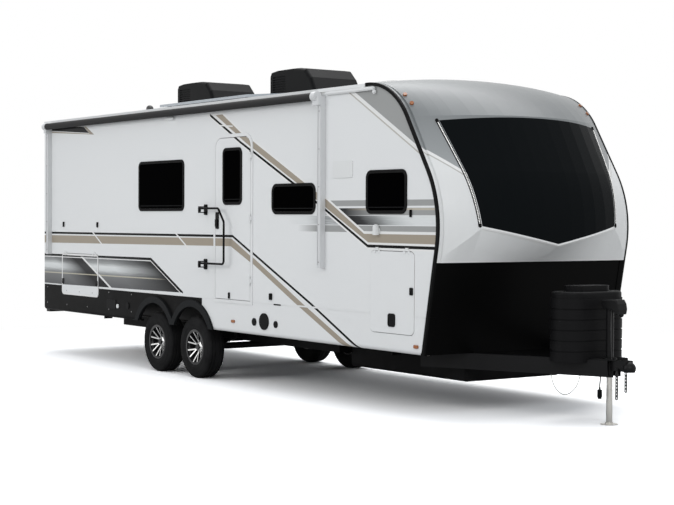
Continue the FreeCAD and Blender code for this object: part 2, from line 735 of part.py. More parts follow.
def skirt_profile(x0, x1):
    """Skirt of one side with its rolled lower edge."""
    y, z, t = -half_width, skirt_bottom, skirt_thick
    roll = skirt_roll
    k = math.sqrt(0.5)
    outer_mid = V(x0, y + roll - roll * k, z + roll - roll * k)
    inner_roll = roll - t
    inner_mid = V(x0, y + roll - inner_roll * k, z + roll - inner_roll * k)
    p = [V(x0, y, deck_top - joint_gap), V(x0, y, z + roll), V(x0, y + roll, z), V(x0, y + skirt_return, z),
         V(x0, y + skirt_return, z + t), V(x0, y + roll, z + t), V(x0, y + t, z + roll),
         V(x0, y + t, deck_top - joint_gap)]
    edges = [Part.LineSegment(p[0], p[1]).toShape(), Part.Arc(p[1], outer_mid, p[2]).toShape(),
             Part.LineSegment(p[2], p[3]).toShape(), Part.LineSegment(p[3], p[4]).toShape(),
             Part.LineSegment(p[4], p[5]).toShape(), Part.Arc(p[5], inner_mid, p[6]).toShape(),
             Part.LineSegment(p[6], p[7]).toShape(), Part.LineSegment(p[7], p[0]).toShape()]
    return Part.Face(Part.Wire(edges)).extrude(V(x1 - x0, 0, 0))


def skirts(x0, x1, hatches):
    skirt = skirt_profile(x0, x1)
    side = side_slab(-half_width, -half_width + skirt_return + 1, skirt_bottom, deck_top)
    skirt = skirt.common(side)
    skirt = skirt.cut([wheel_arches(arch_radius)] + [hatch_hole(spec, hatch_gap) for spec in hatches])
    return skirt.cut(edge_trim())


def flare():
    """Joined pair of arch flares on the door side."""
    y0, y1 = -half_width - flare_out, -half_width
    rings = []
    hollows = []
    arch_z = tyre_radius + arch_lift
    for x in axle_xs.values():
        rings.append(rod(flare_outer, V(x, y0, arch_z), V(x, y1 - joint_gap, arch_z)))
        hollows.append(rod(flare_inner, V(x, y0 - 5, arch_z), V(x, y1 + 5, arch_z)))
    pair = rings[0].fuse(rings[1]).cut(hollows)
    reach = axle_spacing / 2 + flare_outer + 10
    keep = block(axle_mid - reach, axle_mid + reach, y0 - 5, y1 + 5, skirt_bottom + 5, arch_z + flare_outer + 10)
    return pair.common(keep)


def gutter():
    x0, x1 = rear_x + 20, nose_start[0]
    y = -half_width
    rail = block(x0, x1, y - gutter_out, y - joint_gap, eave_z - gutter_height, eave_z)
    spout = block(x1 - 50, x1, y - gutter_out - 12, y - joint_gap, eave_z - gutter_height - 8,
                  eave_z - gutter_height + 6)
    return rail.fuse(spout)


# Running gear

def revolved_y(profile, x, z):
    """Ring turned about an axle line, from pairs of radius and y."""
    corners = [V(x + r, y, z) for r, y in profile]
    face = Part.Face(Part.makePolygon(corners + corners[:1]))
    return face.revolve(V(x, 0, z), V(0, 1, 0), 360)


def faceted_ring(profile, x, z, facets):
    """Ring about an axle line with flat facets, from pairs of radius and y; it costs far fewer triangles."""
    rings = []
    for radius, y in profile:
        turns = [math.radians(-90 + 360.0 * n / facets) for n in range(facets)]
        rings.append([V(x + radius * math.cos(t), y, z + radius * math.sin(t)) for t in turns])
    faces = []
    for ring, after in zip(rings, rings[1:] + rings[:1]):
        for n in range(facets):
            m = (n + 1) % facets
            faces.append(Part.Face(Part.makePolygon([ring[n], ring[m], after[m], after[n], ring[n]])))
    return Part.Solid(Part.Shell(faces))


def tyre(x, side):
    outer, inner = tyre_outer_y, tyre_outer_y - tyre_width
    r = tyre_radius
    seat, lip = rim_radius + tyre_seat_gap, rim_flange + tyre_seat_gap
    flange_y = outer - (tyre_width - rim_width) / 2
    bead = flange_y - joint_gap
    profile = [(seat, inner + 22), (r - 62, inner), (r - 14, inner + 16), (r, inner + 34), (r, outer - 34),
               (r - 14, outer - 16), (r - 62, outer), (lip, flange_y + rim_flange_thick), (lip, bead), (seat, bead)]
    ring = faceted_ring([(radius, side * y) for radius, y in profile], x, tyre_radius, tyre_facets)
    if ring.Volume < 0:
        ring.reverse()
    return ring


def rim(x, side):
    """Spoked rim: barrel with its outer flange, recessed hub, and paired spokes that slope in to the hub."""
    mid = tyre_outer_y - tyre_width / 2
    y0, y1 = mid - rim_width / 2, mid + rim_width / 2
    r, lip_y, hub_y = rim_radius, y1 + rim_flange_thick, tyre_outer_y - rim_disc_y
    barrel = [(r, y0), (r, y1), (rim_flange, y1), (rim_flange, lip_y), (r - 12, lip_y), (r - rim_wall - 2, y1 - 14),
              (r - rim_wall - 8, y1 - 30), (r - rim_wall - 8, y0 + 10), (r - rim_wall, y0)]
    barrel = revolved_y([(a, side * b) for a, b in barrel], x, tyre_radius)
    hub = [(hub_bore, hub_y - 62), (hub_radius + 20, hub_y - 62), (hub_radius + 12, hub_y - 12),
           (hub_radius - 14, hub_y + 4), (hub_bore + 6, hub_y + 8), (hub_bore, hub_y + 8)]
    hub = revolved_y([(a, side * b) for a, b in hub], x, tyre_radius)
    cap = rod(hub_bore + 2, V(x, side * (hub_y + 4), tyre_radius), V(x, side * (hub_y + 26), tyre_radius))
    dish = [(hub_radius, hub_y - 40), (r - rim_wall - 2, hub_y - 46), (r - rim_wall - 2, hub_y - 38),
            (hub_radius, hub_y - 30)]
    dish = revolved_y([(a, side * b) for a, b in dish], x, tyre_radius)
    foot = math.radians(spoke_foot)
    foot_x, foot_z = hub_radius * math.cos(foot), hub_radius * math.sin(foot)
    run = rim_flange - foot_x
    side_view = [(-8, hub_y - 34), (run, lip_y - spoke_depth), (run, lip_y), (run - 12, lip_y), (-8, hub_y + 2)]
    spokes = []
    for pair in range(spoke_pairs):
        for hand in (-1, 1):
            bar = prism_xy([(a, side * b) for a, b in side_view], -spoke_width / 2, spoke_width / 2)
            bar.rotate(V(0, 0, 0), V(0, 1, 0), -hand * spoke_lean)
            bar.translate(V(foot_x, 0, hand * foot_z))
            bar.rotate(V(0, 0, 0), V(0, 1, 0), 360.0 * pair / spoke_pairs)
            bar.translate(V(x, 0, tyre_radius))
            spokes.append(bar)
    limit = rod(r - 1, V(x, side * y0, tyre_radius), V(x, side * lip_y, tyre_radius))
    limit = limit.fuse(rod(rim_flange - 2, V(x, side * y1, tyre_radius), V(x, side * lip_y, tyre_radius)))
    return barrel.fuse([hub, cap, dish] + [bar.common(limit) for bar in spokes])


def axle(x):
    """Axle tube with a backing plate, drum and spindle at each end."""
    z = tyre_radius
    face_y = tyre_outer_y - rim_disc_y
    drum_y = face_y - 62 - 6
    pieces = [rod(axle_tube_radius, V(x, -drum_y + drum_width, z), V(x, drum_y - drum_width, z))]
    for side in (-1, 1):
        y0 = side * (drum_y - drum_width)
        pieces.append(rod(drum_radius, V(x, y0, z), V(x, side * drum_y, z)))
        pieces.append(rod(drum_radius + 16, V(x, y0 - side * 8, z), V(x, y0, z)))
        pieces.append(rod(spindle_radius, V(x, side * (drum_y - 5), z), V(x, side * (face_y + 3), z)))
        seat = block(x - 40, x + 40, side * spring_y - 30, side * spring_y + 30, z, z + axle_tube_radius + 8)
        pieces.append(seat)
    return fused(pieces)


def leaf_spring(x, y):
    """Pack of curved leaves between two eyes, on top of the axle seat."""
    base = tyre_radius + axle_tube_radius + 8 + joint_gap
    leaves = []
    for n in range(spring_leaves):
        half = spring_half * (1 - 0.22 * n)
        low = base + (spring_leaves - 1 - n) * spring_leaf
        rise = spring_sag * (half / spring_half) ** 2
        pts = [V(x - half, y - spring_width / 2, low + rise), V(x, y - spring_width / 2, low),
               V(x + half, y - spring_width / 2, low + rise)]
        up = V(0, 0, spring_leaf)
        lower = Part.Arc(*pts).toShape()
        upper = Part.Arc(*[p.add(up) for p in reversed(pts)]).toShape()
        ends = [Part.LineSegment(pts[2], pts[2].add(up)).toShape(),
                Part.LineSegment(pts[0].add(up), pts[0]).toShape()]
        leaves.append(Part.Face(Part.Wire([lower, ends[0], upper, ends[1]])).extrude(V(0, spring_width, 0)))
    eye_z = base + (spring_leaves - 1) * spring_leaf + spring_sag + spring_leaf / 2
    for end in (-1, 1):
        ex = x + end * spring_half
        leaves.append(rod(eye_radius, V(ex, y - spring_width / 2, eye_z), V(ex, y + spring_width / 2, eye_z)))
    clamp = block(x - 38, x + 38, y - spring_width / 2 - 8, y + spring_width / 2 + 8, base,
                  base + spring_leaves * spring_leaf + 10)
    return fused(leaves + [clamp])


def eye_height():
    base = tyre_radius + axle_tube_radius + 8 + joint_gap
    return base + (spring_leaves - 1) * spring_leaf + spring_sag + spring_leaf / 2


def hanger(x, y, drop):
    """Pair of plates that carry a spring eye or the equaliser below a rail."""
    top = rail_low - joint_gap
    plates = []
    for hand in (-1, 1):
        y0 = y + hand * (spring_width / 2 + 2)
        y1 = y0 + hand * 7
        plates.append(prism_xz([(x - 55, top), (x - 24, drop - 24), (x + 24, drop - 24), (x + 55, top)],
                               min(y0, y1), max(y0, y1)))
    plates.append(rod(9, V(x, y - spring_width / 2 - 14, drop), V(x, y + spring_width / 2 + 14, drop)))
    bridge = block(x - 50, x + 50, y - spring_width / 2 - 9, y + spring_width / 2 + 9, top - 8, top)
    return fused(plates + [bridge])


def leaf_springs():
    pieces = []
    for side in (-1, 1):
        y = side * spring_y
        run = []
        for end in (-1, 1):
            run.append(leaf_spring(end * axle_spacing / 2, y))
            run.append(hanger(end * (axle_spacing / 2 + spring_half), y, eye_height()))
        run.append(hanger(0.0, y, eye_height() + 34))
        half = axle_spacing / 2 - spring_half
        for hand in (-1, 1):
            y0 = y + hand * (spring_width / 2 + 2)
            y1 = y0 + hand * 7
            run.append(prism_xz([(-half - 20, eye_height() - 20), (half + 20, eye_height() - 20),
                                 (half + 20, eye_height() + 14), (24, eye_height() + 58), (-24, eye_height() + 58),
                                 (-half - 20, eye_height() + 14)], min(y0, y1), max(y0, y1)))
            for end in (-1, 1):
                run.append(rod(9, V(end * half, y - 32, eye_height()), V(end * half, y + 32, eye_height())))
        pieces.append(fused(run).translated(V(axle_mid, 0, 0)))
    return pieces


# Chassis

def chassis_rail(y):
    z0, z1 = rail_low, deck_top - deck_thick
    f, t = rail_flange / 2, rail_sheet
    outline = [(y - f, z0), (y + f, z0), (y + f, z0 + t), (y + t / 2, z0 + t), (y + t / 2, z1 - t), (y + f, z1 - t),
               (y + f, z1), (y - f, z1), (y - f, z1 - t), (y - t / 2, z1 - t), (y - t / 2, z0 + t), (y - f, z0 + t)]
    return prism_yz(outline, rail_rear, rail_front)


def crossmembers():
    """Cross tubes between the rails, and outriggers from the rails to the skirts."""
    z1 = deck_top - deck_thick
    inner = rail_y - rail_sheet / 2
    pieces = []
    for n in range(cross_count):
        x = cross_first + n * cross_pitch
        pieces.append(block(x, x + cross_width, -inner + joint_gap, inner - joint_gap,
                            z1 - rail_sheet - cross_depth - 20, z1 - rail_sheet - 20))
        if abs(x - axle_mid) < axle_spacing / 2 + flare_outer + 60:
            continue
        y0, y1 = rail_y + rail_sheet / 2 + joint_gap, half_width - skirt_return - 20
        outrigger = prism_yz([(y0, z1 - rail_sheet - 1), (y1, z1 - rail_sheet - 1), (y1, z1 - 60),
                              (y0, z1 - 190)], x, x + 6)
        pieces += both_sides(outrigger)
    return pieces


def tongue_y(x):
    return tongue_tip_y + (tongue_tip_x - x) * math.tan(math.radians(tongue_angle))


def tongue_strip(a, b, low, high):
    """Length of the door side's drawbar rail, from a to b inward of its outer face."""
    corners = [V(x, -tongue_y(x) + inward, low) for x, inward in ((tongue_rear, a), (tongue_front, a),
                                                                  (tongue_front, b), (tongue_rear, b))]
    return Part.Face(Part.makePolygon(corners + corners[:1])).extrude(V(0, 0, high - low))


def tongue_rail():
    """One drawbar rail of the A-frame on the door side, an open channel facing inward."""
    z1 = rail_low
    z0 = z1 - tongue_depth
    web = tongue_strip(0, tongue_sheet * tongue_across / tongue_width, z0, z1)
    return fused([web, tongue_strip(0, tongue_across, z0, z0 + tongue_sheet),
                  tongue_strip(0, tongue_across, z1 - tongue_sheet, z1)])


def tank_guard():
    """Moulded pan that hangs from the chassis rails, open at its top."""
    z0 = rail_low - guard_depth
    pan = block(guard_x0, guard_x1, -guard_half, guard_half, z0, rail_low - joint_gap)
    pan = pan.makeFillet(35, [e for e in pan.Edges if e.BoundBox.ZMax < rail_low - 10 or e.BoundBox.ZLength > 100])
    inner = block(guard_x0 + guard_sheet, guard_x1 - guard_sheet, -guard_half + guard_sheet,
                  guard_half - guard_sheet, z0 + guard_sheet, rail_low + 10)
    inner = inner.makeFillet(30, [e for e in inner.Edges if e.BoundBox.ZMax < rail_low - 10
                                  or e.BoundBox.ZLength > 100])
    tabs = []
    for x in (guard_x0 + 60, guard_x0 + 560, guard_x0 + 840, guard_x1 - 340):
        tabs += both_sides(block(x, x + 60, -rail_y + 15, -guard_half + 3, rail_low - joint_gap - guard_sheet,
                                 rail_low - joint_gap))
    return pan.cut(inner).fuse(tabs)


def belly_pan():
    """Bottom sheet, four sides and the tabs that hang them from the chassis rails' lower flanges."""
    t, top, low = guard_sheet, rail_low - joint_gap, rail_low - belly_depth
    pieces = [block(belly_x0, belly_x1, -belly_half, belly_half, low, low + t)]
    for x in (belly_x0, belly_x1 - t):
        pieces.append(block(x, x + t, -belly_half + t + joint_gap, belly_half - t - joint_gap, low + t + joint_gap, top))
    side = block(belly_x0, belly_x1, -belly_half, -belly_half + t, low + t + joint_gap, top)
    tabs = [block(x, x + 80, -rail_y + 15, -belly_half + t, top - t, top) for x in belly_tabs]
    return pieces + both_sides(side.fuse(tabs))


def coupler():
    """Formed coupler: seat plate over the rails, channel neck and ball socket."""
    z_top = rail_low
    rear = bottle_x + bottle_depth / 2 + 12.0
    seat = [(rear, 142.0), (5990.0, 66.0), (6040.0, 52.0), (6040.0, -52.0), (5990.0, -66.0), (rear, -142.0)]
    plate = Part.Face(Part.makePolygon([V(x, y, z_top + joint_gap) for x, y in seat + seat[:1]]))
    plate = plate.extrude(V(0, 0, coupler_wall))
    hole = rod(jack_outer + joint_gap, V(jack_x, 0, z_top - 50), V(jack_x, 0, z_top + 50))
    neck = block(tongue_front + 2, socket_x, -neck_half, neck_half, neck_bottom, z_top + coupler_wall)
    hollow = block(tongue_front + 2 + coupler_wall, socket_x - 40, -neck_half + coupler_wall,
                   neck_half - coupler_wall, neck_bottom - 10, z_top)
    lugs = both_sides(block(chain_x - 16, chain_x + 16, -chain_y - 8, -neck_half + 2, neck_bottom,
                            neck_bottom + chain_lug))
    dome = Part.makeSphere(coupler_tip - socket_x, V(socket_x, 0, socket_z))
    dome = dome.common(block(socket_x - 80, socket_x + 80, -80, 80, socket_z - 30, socket_z + 80))
    skirt = rod(coupler_tip - socket_x - 8, V(socket_x, 0, socket_z - 34), V(socket_x, 0, socket_z))
    latch = block(6010.0, 6120.0, -14, 14, z_top + coupler_wall - 1, z_top + coupler_wall + 26)
    body = fused([plate.cut(hole), neck.cut(hollow), dome, skirt, latch] + lugs)
    socket = Part.makeSphere(socket_radius, V(socket_x, 0, socket_z + 6))
    throat = rod(socket_radius, V(socket_x, 0, socket_z - 60), V(socket_x, 0, socket_z + 6))
    return body.cut([socket, throat])


def chain_link(x, y, z, turned):
    """One oval chain link of straight bars, hanging upright."""

    def oval(h, w, c):
        return [(-w, -h + c), (-w + c, -h), (w - c, -h), (w, -h + c), (w, h - c), (w - c, h), (-w + c, h), (-w, h - c)]

    half_l, half_w = link_length / 2, link_width / 2
    link = prism_xz(oval(half_l, half_w, 9), -link_wire / 2, link_wire / 2)
    link = link.cut(prism_xz(oval(half_l - link_wire, half_w - link_wire, 4), -link_wire, link_wire))
    if turned:
        link.rotate(V(0, 0, 0), V(0, 0, 1), 90)
    link.translate(V(x, y, z))
    return link


def safety_chains():
    """Two chains that hang from the lugs on the coupler's neck."""
    pieces = []
    top = neck_bottom - joint_gap
    pitch = link_length - 2 * link_wire - 0.5
    for hand, count in zip((-1, 1), chain_counts):
        y = hand * chain_y
        eye = block(chain_x - 6, chain_x + 6, y - 6, y + 6, top - 12, top)
        links = [chain_link(chain_x, y, top - 8 - link_length / 2 - n * pitch, n % 2 == 1) for n in range(count)]
        pieces.append(fused([eye] + links))
    return pieces


def jack_housing():
    """Powered tongue jack: outer tube with its flange, and the head on top."""
    z_seat = rail_low + coupler_wall + 2 * joint_gap
    bore = rod(jack_leg_radius + jack_clear, V(jack_x, 0, 300), V(jack_x, 0, jack_top - 20))
    outer = rod(jack_outer, V(jack_x, 0, rail_low - tongue_depth - 8), V(jack_x, 0, jack_top + 40))
    flange = rod(66, V(jack_x, 0, z_seat), V(jack_x, 0, z_seat + 10))
    body = outer.fuse(flange).cut(bore)
    corners = [(jack_x + x, jack_top + z) for x, z in jack_head]
    head = prism_xz(corners, -jack_head_half, jack_head_half)
    head = head.makeFillet(10, [e for e in head.Edges if abs(e.tangentAt(e.FirstParameter).y) > 0.99])
    head = head.makeFillet(8, [e for e in head.Edges if abs(e.BoundBox.YMax - e.BoundBox.YMin) < 1
                               and e.BoundBox.ZMax > jack_top + 60])
    lamp_x = jack_x + jack_lamp_x
    low = V(lamp_x, jack_lamp_y, jack_top - jack_lamp_drop)
    lamp = rod(jack_lamp_radius, low, low + V(0, 0, jack_lamp_drop))
    lens = Part.makeSphere(jack_lamp_radius, low)
    return fused([body, head, lamp, lens])


def jack_leg():
    leg = rod(jack_leg_radius, V(jack_x, 0, jack_foot_thick), V(jack_x, 0, jack_leg_top))
    foot = rod(jack_foot_radius, V(jack_x, 0, 0), V(jack_x, 0, jack_foot_thick))
    collar = rod(jack_leg_radius + 8, V(jack_x, 0, jack_foot_thick), V(jack_x, 0, jack_foot_thick + 14))
    return fused([leg, foot, collar])


def bottle_cover():
    """Ribbed cover over the two gas bottles, on its tray."""
    half_d, half_l = bottle_depth / 2, bottle_length / 2
    cover = rounded_xy(bottle_x - half_d, bottle_x + half_d, -half_l, half_l, bottle_bottom, bottle_top - 60,
                       half_d - 2)
    lid = rounded_xy(bottle_x - half_d + 8, bottle_x + half_d - 8, -half_l + 8, half_l - 8, bottle_top - 60,
                     bottle_top, half_d - 10)
    lid = lid.makeFillet(24, [e for e in lid.Edges if e.BoundBox.ZMin > bottle_top - 1])
    cap = rounded_xy(bottle_x - 110, bottle_x + 110, -230, 230, bottle_top - 1, bottle_top + 52, 90)
    cover = cover.fuse([lid, cap])
    pitch = (bottle_top - 60 - bottle_bottom) / (bottle_ribs + 1)
    grooves = []
    for n in range(1, bottle_ribs + 1):
        z = bottle_bottom + n * pitch
        outer = rounded_xy(bottle_x - half_d - 5, bottle_x + half_d + 5, -half_l - 5, half_l + 5, z - 6, z + 6,
                           half_d + 3)
        inner = rounded_xy(bottle_x - half_d + 9, bottle_x + half_d - 9, -half_l + 9, half_l - 9, z - 7, z + 7,
                           half_d - 11)
        grooves.append(outer.cut(inner))
    notches = both_sides(tongue_strip(-8.0, tongue_across + 8.0, bottle_bottom - 10, rail_low + joint_gap))
    return cover.cut(grooves + notches)


def rear_bumper():
    """Square tube across the back on two arms from the rails."""
    x0 = rear_x - bumper_gap - bumper_size
    z1 = rail_low + 60
    beam = block(x0, x0 + bumper_size, -bumper_half, bumper_half, z1 - bumper_size, z1)
    hollow = block(x0 + 4, x0 + bumper_size - 4, -bumper_half - 5, bumper_half + 5, z1 - bumper_size + 4, z1 - 4)
    caps = []
    for side in (-1, 1):
        y0, y1 = sorted((side * (bumper_half - 12), side * bumper_half))
        caps.append(block(x0, x0 + bumper_size, y0, y1, z1 - bumper_size, z1))
    arms = []
    for side in (-1, 1):
        y = side * rail_y
        arms.append(block(x0 + bumper_size, rail_rear + 250, y - bumper_arm / 2, y + bumper_arm / 2,
                          rail_low - 44, rail_low - joint_gap))
    return fused([beam.cut(hollow)] + caps + arms)


# Awning, roof equipment and small fittings

def awning_roller():
    """Rolled awning between its end heads, with the valance edge."""
    axis0, axis1 = V(awning_x0, awning_y, awning_z), V(awning_x1, awning_y, awning_z)
    roll = rod(awning_radius, axis0, axis1)
    lip = block(awning_x0 + 30, awning_x1 - 30, awning_y - 10, awning_y + awning_radius + 10,
                awning_z + awning_radius - 12, awning_z + awning_radius - 2)
    lip = lip.common(block(awning_x0, awning_x1, awning_y, -half_width - gutter_out - joint_gap, 3000, 3200))
    return fused([roll, lip])


def awning_arm(x):
    """Folded arm: channel on the wall, strut inside it, and the head that carries the roller."""
    y1 = -half_width - joint_gap
    y0 = y1 - arm_out
    channel = block(x, x + arm_width, y0, y1, arm_low, arm_high)
    channel = channel.cut(block(x + arm_wall, x + arm_width - arm_wall, y0 - 5, y1 - arm_wall,
                                arm_low + 30, arm_high + 5))
    strut = block(x + arm_wall + 4, x + arm_width - arm_wall - 4, y0 + 4, y1 - arm_wall, arm_low + 20, arm_high)
    side = 1 if x > 0 else -1
    head_x0 = awning_x1 + joint_gap if side > 0 else awning_x0 - joint_gap - 75
    head = rod(awning_radius + 8, V(head_x0, awning_y, awning_z), V(head_x0 + 75, awning_y, awning_z))
    link = block(min(x, head_x0 + 5), max(x + arm_width, head_x0 + 70), awning_y - 20, y1, arm_high - 40,
                 awning_z)
    return fused([channel, strut, head, link])


def roof_z(y):
    """Height of the crowned roof skin at y."""
    radius = (half_width ** 2 + roof_crown ** 2) / (2 * roof_crown)
    return eave_z + roof_crown - radius + math.sqrt(radius ** 2 - y ** 2)


def roof_cutter():
    return roof_section(roof_edge, roof_middle, rear_x, nose_start[0], half_width).translated(V(0, 0, joint_gap))


def cooler(x):
    """Rooftop cooling unit: upright rear with an air grille at each side, and a long rounded front."""
    h, l, w = cooler_height, cooler_length / 2, cooler_width / 2
    base = eave_z + roof_crown
    outline = [(x - l, base - 14), (x + l, base - 14), (x + l - 8, base + 0.16 * h), (x + 0.80 * l, base + 0.62 * h),
               (x + 0.56 * l, base + 0.95 * h), (x + 0.30 * l, base + h), (x - 0.65 * l, base + 0.99 * h),
               (x - 0.94 * l, base + 0.94 * h), (x - l, base + 0.80 * h)]
    shell = prism_xz(outline, -w, w)
    shell = shell.makeFillet(45, [e for e in shell.Edges if e.BoundBox.XMin > x + 0.2 * l
                                  and e.BoundBox.YLength < 1 and e.BoundBox.ZMax > base + 30])
    slots = []
    for n in range(cooler_slots):
        z = base + 70 + n * (h - 150) / (cooler_slots - 1)
        slots += both_sides(rounded_xz(x - 0.88 * l, x - 0.30 * l, z - 7, z + 7, 6, -w - 5, -w + 14))
        slots.append(block(x - l - 5, x - l + 14, -w + 60, w - 60, z - 7, z + 7))
    return shell.cut([roof_cutter()] + slots)


def solar_panel():
    """Framed panel that follows the roof's slope on low feet."""
    spots = [(y, roof_z(y) + panel_lift) for y in (panel_y0, panel_y1)]
    panel = prism_yz(spots + [(y, z + panel_thick) for y, z in reversed(spots)], panel_x0, panel_x1)
    feet = []
    for x in (panel_x0 + 150, panel_x1 - 200):
        for y in (panel_y0 + 20, panel_y1 - 60):
            feet.append(block(x, x + 50, y, y + 40, roof_z(y) - 20, roof_z(y) + panel_lift + 8))
    return fused([panel] + [foot.cut(roof_cutter()) for foot in feet])


def roof_fittings():
    base = eave_z + roof_crown
    pieces = []
    for x in vent_xs:
        lid = rounded_xy(x - vent_size / 2, x + vent_size / 2, -vent_size / 2, vent_size / 2, base - 20,
                         base + vent_height, 40)
        pieces.append(lid.cut(roof_cutter()))
    dome_y = 319.0 - half_width
    foot = V(-1270.0, dome_y, roof_z(dome_y))
    dome = Part.makeSphere(dome_radius, foot + V(0, 0, 14)).fuse(rod(0.62 * dome_radius, foot - V(0, 0, 20), foot))
    pieces.append(dome.cut(roof_cutter()))
    return pieces


def disc_on_wall(x, z, radius, out):
    return rod(radius, V(x, -half_width - out, z), V(x, -half_width - joint_gap, z))


def porch_light():
    """Domed lamp beside the nose window, on its round base."""
    x, z = porch_lamp
    y = -half_width
    base = disc_on_wall(x, z, porch_radius, 8)
    column = rod(porch_radius - 4, V(x, y - 26, z - 38), V(x, y - 26, z + 34))
    dome = Part.makeSphere(porch_radius - 4, V(x, y - 26, z + 34))
    return fused([base, column, dome]).common(block(x - 80, x + 80, y - 80, y - joint_gap, z - 80, z + 80))


def side_fittings():
    """Round fuel, vent and service fittings, plain covers of their real size."""
    pieces = [disc_on_wall(1955, 750, 90, 14), disc_on_wall(1752, 735, 42, 10), disc_on_wall(2185, 732, 37, 10),
              disc_on_wall(-1510, 742, 27, 12), disc_on_wall(-1243, 762, 42, 10)]
    pieces.append(rounded_xz(-1823, -1568, 702, 818, 15, -half_width - 6, -half_width - joint_gap))
    pieces.append(rounded_xz(3240, 3578, 2270, 2440, 20, -half_width - 10, -half_width - joint_gap))
    for x in (-700.0, 1500.0):
        pieces.append(mirrored(rounded_xz(x, x + 420, 1150, 1450, 20, -half_width - 10, -half_width - joint_gap)))
    pieces.append(mirrored(disc_on_wall(-2600, 1150, 60, 12)))
    pieces += [porch_light(), rounded_xz(*lamp_rail, 10, -half_width - 30, -half_width - joint_gap)]
    baggage_fixed = hatch_hinges(baggage)[0]
    return pieces + baggage_fixed + [mirrored(piece) for piece in baggage_fixed] + hatch_hinges(kitchen)[0]


def marker_lamps():
    spots = [(4611, 669), (1310, 716)]
    lamps = [rounded_xz(x - 32, x + 32, z - 16, z + 16, 12, -half_width - 14, -half_width - joint_gap)
             for x, z in spots]
    for station, share, up, tilt in cap_lamps:
        spot = V(station, -share * half_width, eave_z - up)
        lamps.append(rod(cap_lamp_radius, spot - tilt * 30, spot + tilt * cap_lamp_out).cut(cap_body(0)))
    return lamps + [mirrored(lamp) for lamp in lamps]


def tail_lamps():
    lamps = []
    for side in (-1, 1):
        y0, y1 = sorted((side * (half_width - 199), side * (half_width - 79)))
        lamps.append(block(rear_x - 22, rear_x - joint_gap, y0, y1, deck_top + 210, deck_top + 470))
    return lamps


def grab_handle():
    """Folding grab bow on two wall brackets' pins, lying over the door's edge."""
    y = -half_width - handle_off
    x = handle_x
    ends = [V(x, y, handle_low - 26), V(x, y, handle_low + 26), V(x, y, handle_high - 26), V(x, y, handle_high + 26)]
    knuckles = [rod(17, ends[0], ends[1]), rod(17, ends[2], ends[3])]
    low, high = handle_low + 14, handle_high + 14
    points = [V(x, y, low), V(x + handle_reach, y, low), V(x + handle_reach, y, high - 150),
              V(x + handle_reach - 125, y, high), V(x, y, high)]
    bow = tube(points, handle_tube, hand_bend(40.0))
    bore = rod(8.3, V(x, y, handle_low - 100), V(x, y, handle_high + 100))
    return fused(knuckles + [bow]).cut(bore)


def handle_brackets():
    y1 = -half_width - joint_gap
    pieces = []
    for z in (handle_low, handle_high):
        y = -half_width - handle_off
        pad = rounded_xz(handle_x - 34, handle_x + 34, z - 60, z + 60, 14, y1 - 12, y1)
        ears = []
        for hand in (-1, 1):
            z0, z1 = sorted((z + hand * 27, z + hand * 38))
            ears.append(block(handle_x - 16, handle_x + 16, y, y1 - 11, z0, z1))
            ears.append(rod(16, V(handle_x, y, z0), V(handle_x, y, z1)))
        pin = rod(8, V(handle_x, y, z - 38), V(handle_x, y, z + 38))
        pieces.append(fused([pad] + ears + [pin]))
    return pieces


def stabiliser(x, side, front):
    """Folded stabiliser leg with its foot; it swings down about a cross pin under the rail."""
    y = side * leg_y
    hand = -1 if front else 1
    bar = block(min(x, x + hand * leg_length), max(x, x + hand * leg_length), y - leg_width / 2,
                y + leg_width / 2, leg_pivot_z - 24, leg_pivot_z + 24)
    knuckle = rod(26, V(x, y - leg_width / 2, leg_pivot_z), V(x, y + leg_width / 2, leg_pivot_z))
    foot_x = x + hand * leg_length
    foot = block(min(foot_x, foot_x + hand * 10), max(foot_x, foot_x + hand * 10), y - leg_foot / 2,
                 y + leg_foot / 2, leg_pivot_z - leg_foot / 2, leg_pivot_z + 26)
    bore = rod(10.3, V(x, y - 100, leg_pivot_z), V(x, y + 100, leg_pivot_z))
    return fused([bar, knuckle, foot]).cut(bore)


def stabiliser_brackets():
    pieces = []
    for x in leg_xs:
        for side in (-1, 1):
            y = side * leg_y
            plates = []
            for hand in (-1, 1):
                y0, y1 = sorted((y + hand * (leg_width / 2 + 1), y + hand * (leg_width / 2 + 9)))
                plates.append(block(x - 30, x + 30, y0, y1, leg_pivot_z - 30, rail_low - joint_gap))
            lid = block(x - 60, x + 60, min(y, side * (rail_y + 30)) - 32, max(y, side * (rail_y + 30)) + 32,
                        rail_low - 8, rail_low - joint_gap)
            pin = rod(10, V(x, y - leg_width / 2 - 12, leg_pivot_z), V(x, y + leg_width / 2 + 12, leg_pivot_z))
            pieces.append(fused(plates + [lid, pin]))
    return pieces


def cord_tube(points, diameter, name):
    """Free cord as straight runs and tangent arcs; prints its length and its smallest radius."""
    corners = [V(*p) for p in points]
    solid = tube(corners, diameter / 2, cord_bend)
    path = bent_path(corners, cord_bend)
    radii = [edge.Curve.Radius for edge in path.Edges if hasattr(edge.Curve, "Radius")]
    print(f"{name}: length {path.Length:.0f} mm, smallest radius {min(radii):.0f} mm, volume ratio "
          f"{solid.Volume / (path.Length * math.pi * diameter ** 2 / 4):.3f}")
    return solid


def plug():
    """Seven-pin plug at the end of the trailer's power cord."""
    x, y, z = plug_cord[-1]
    return fused([rod(9, V(x, y, z - 24), V(x, y, z)), rod(plug_radius, V(x, y, z - 88), V(x, y, z - 22)),
                  rod(plug_radius - 4, V(x, y, z - 104), V(x, y, z - 88))])


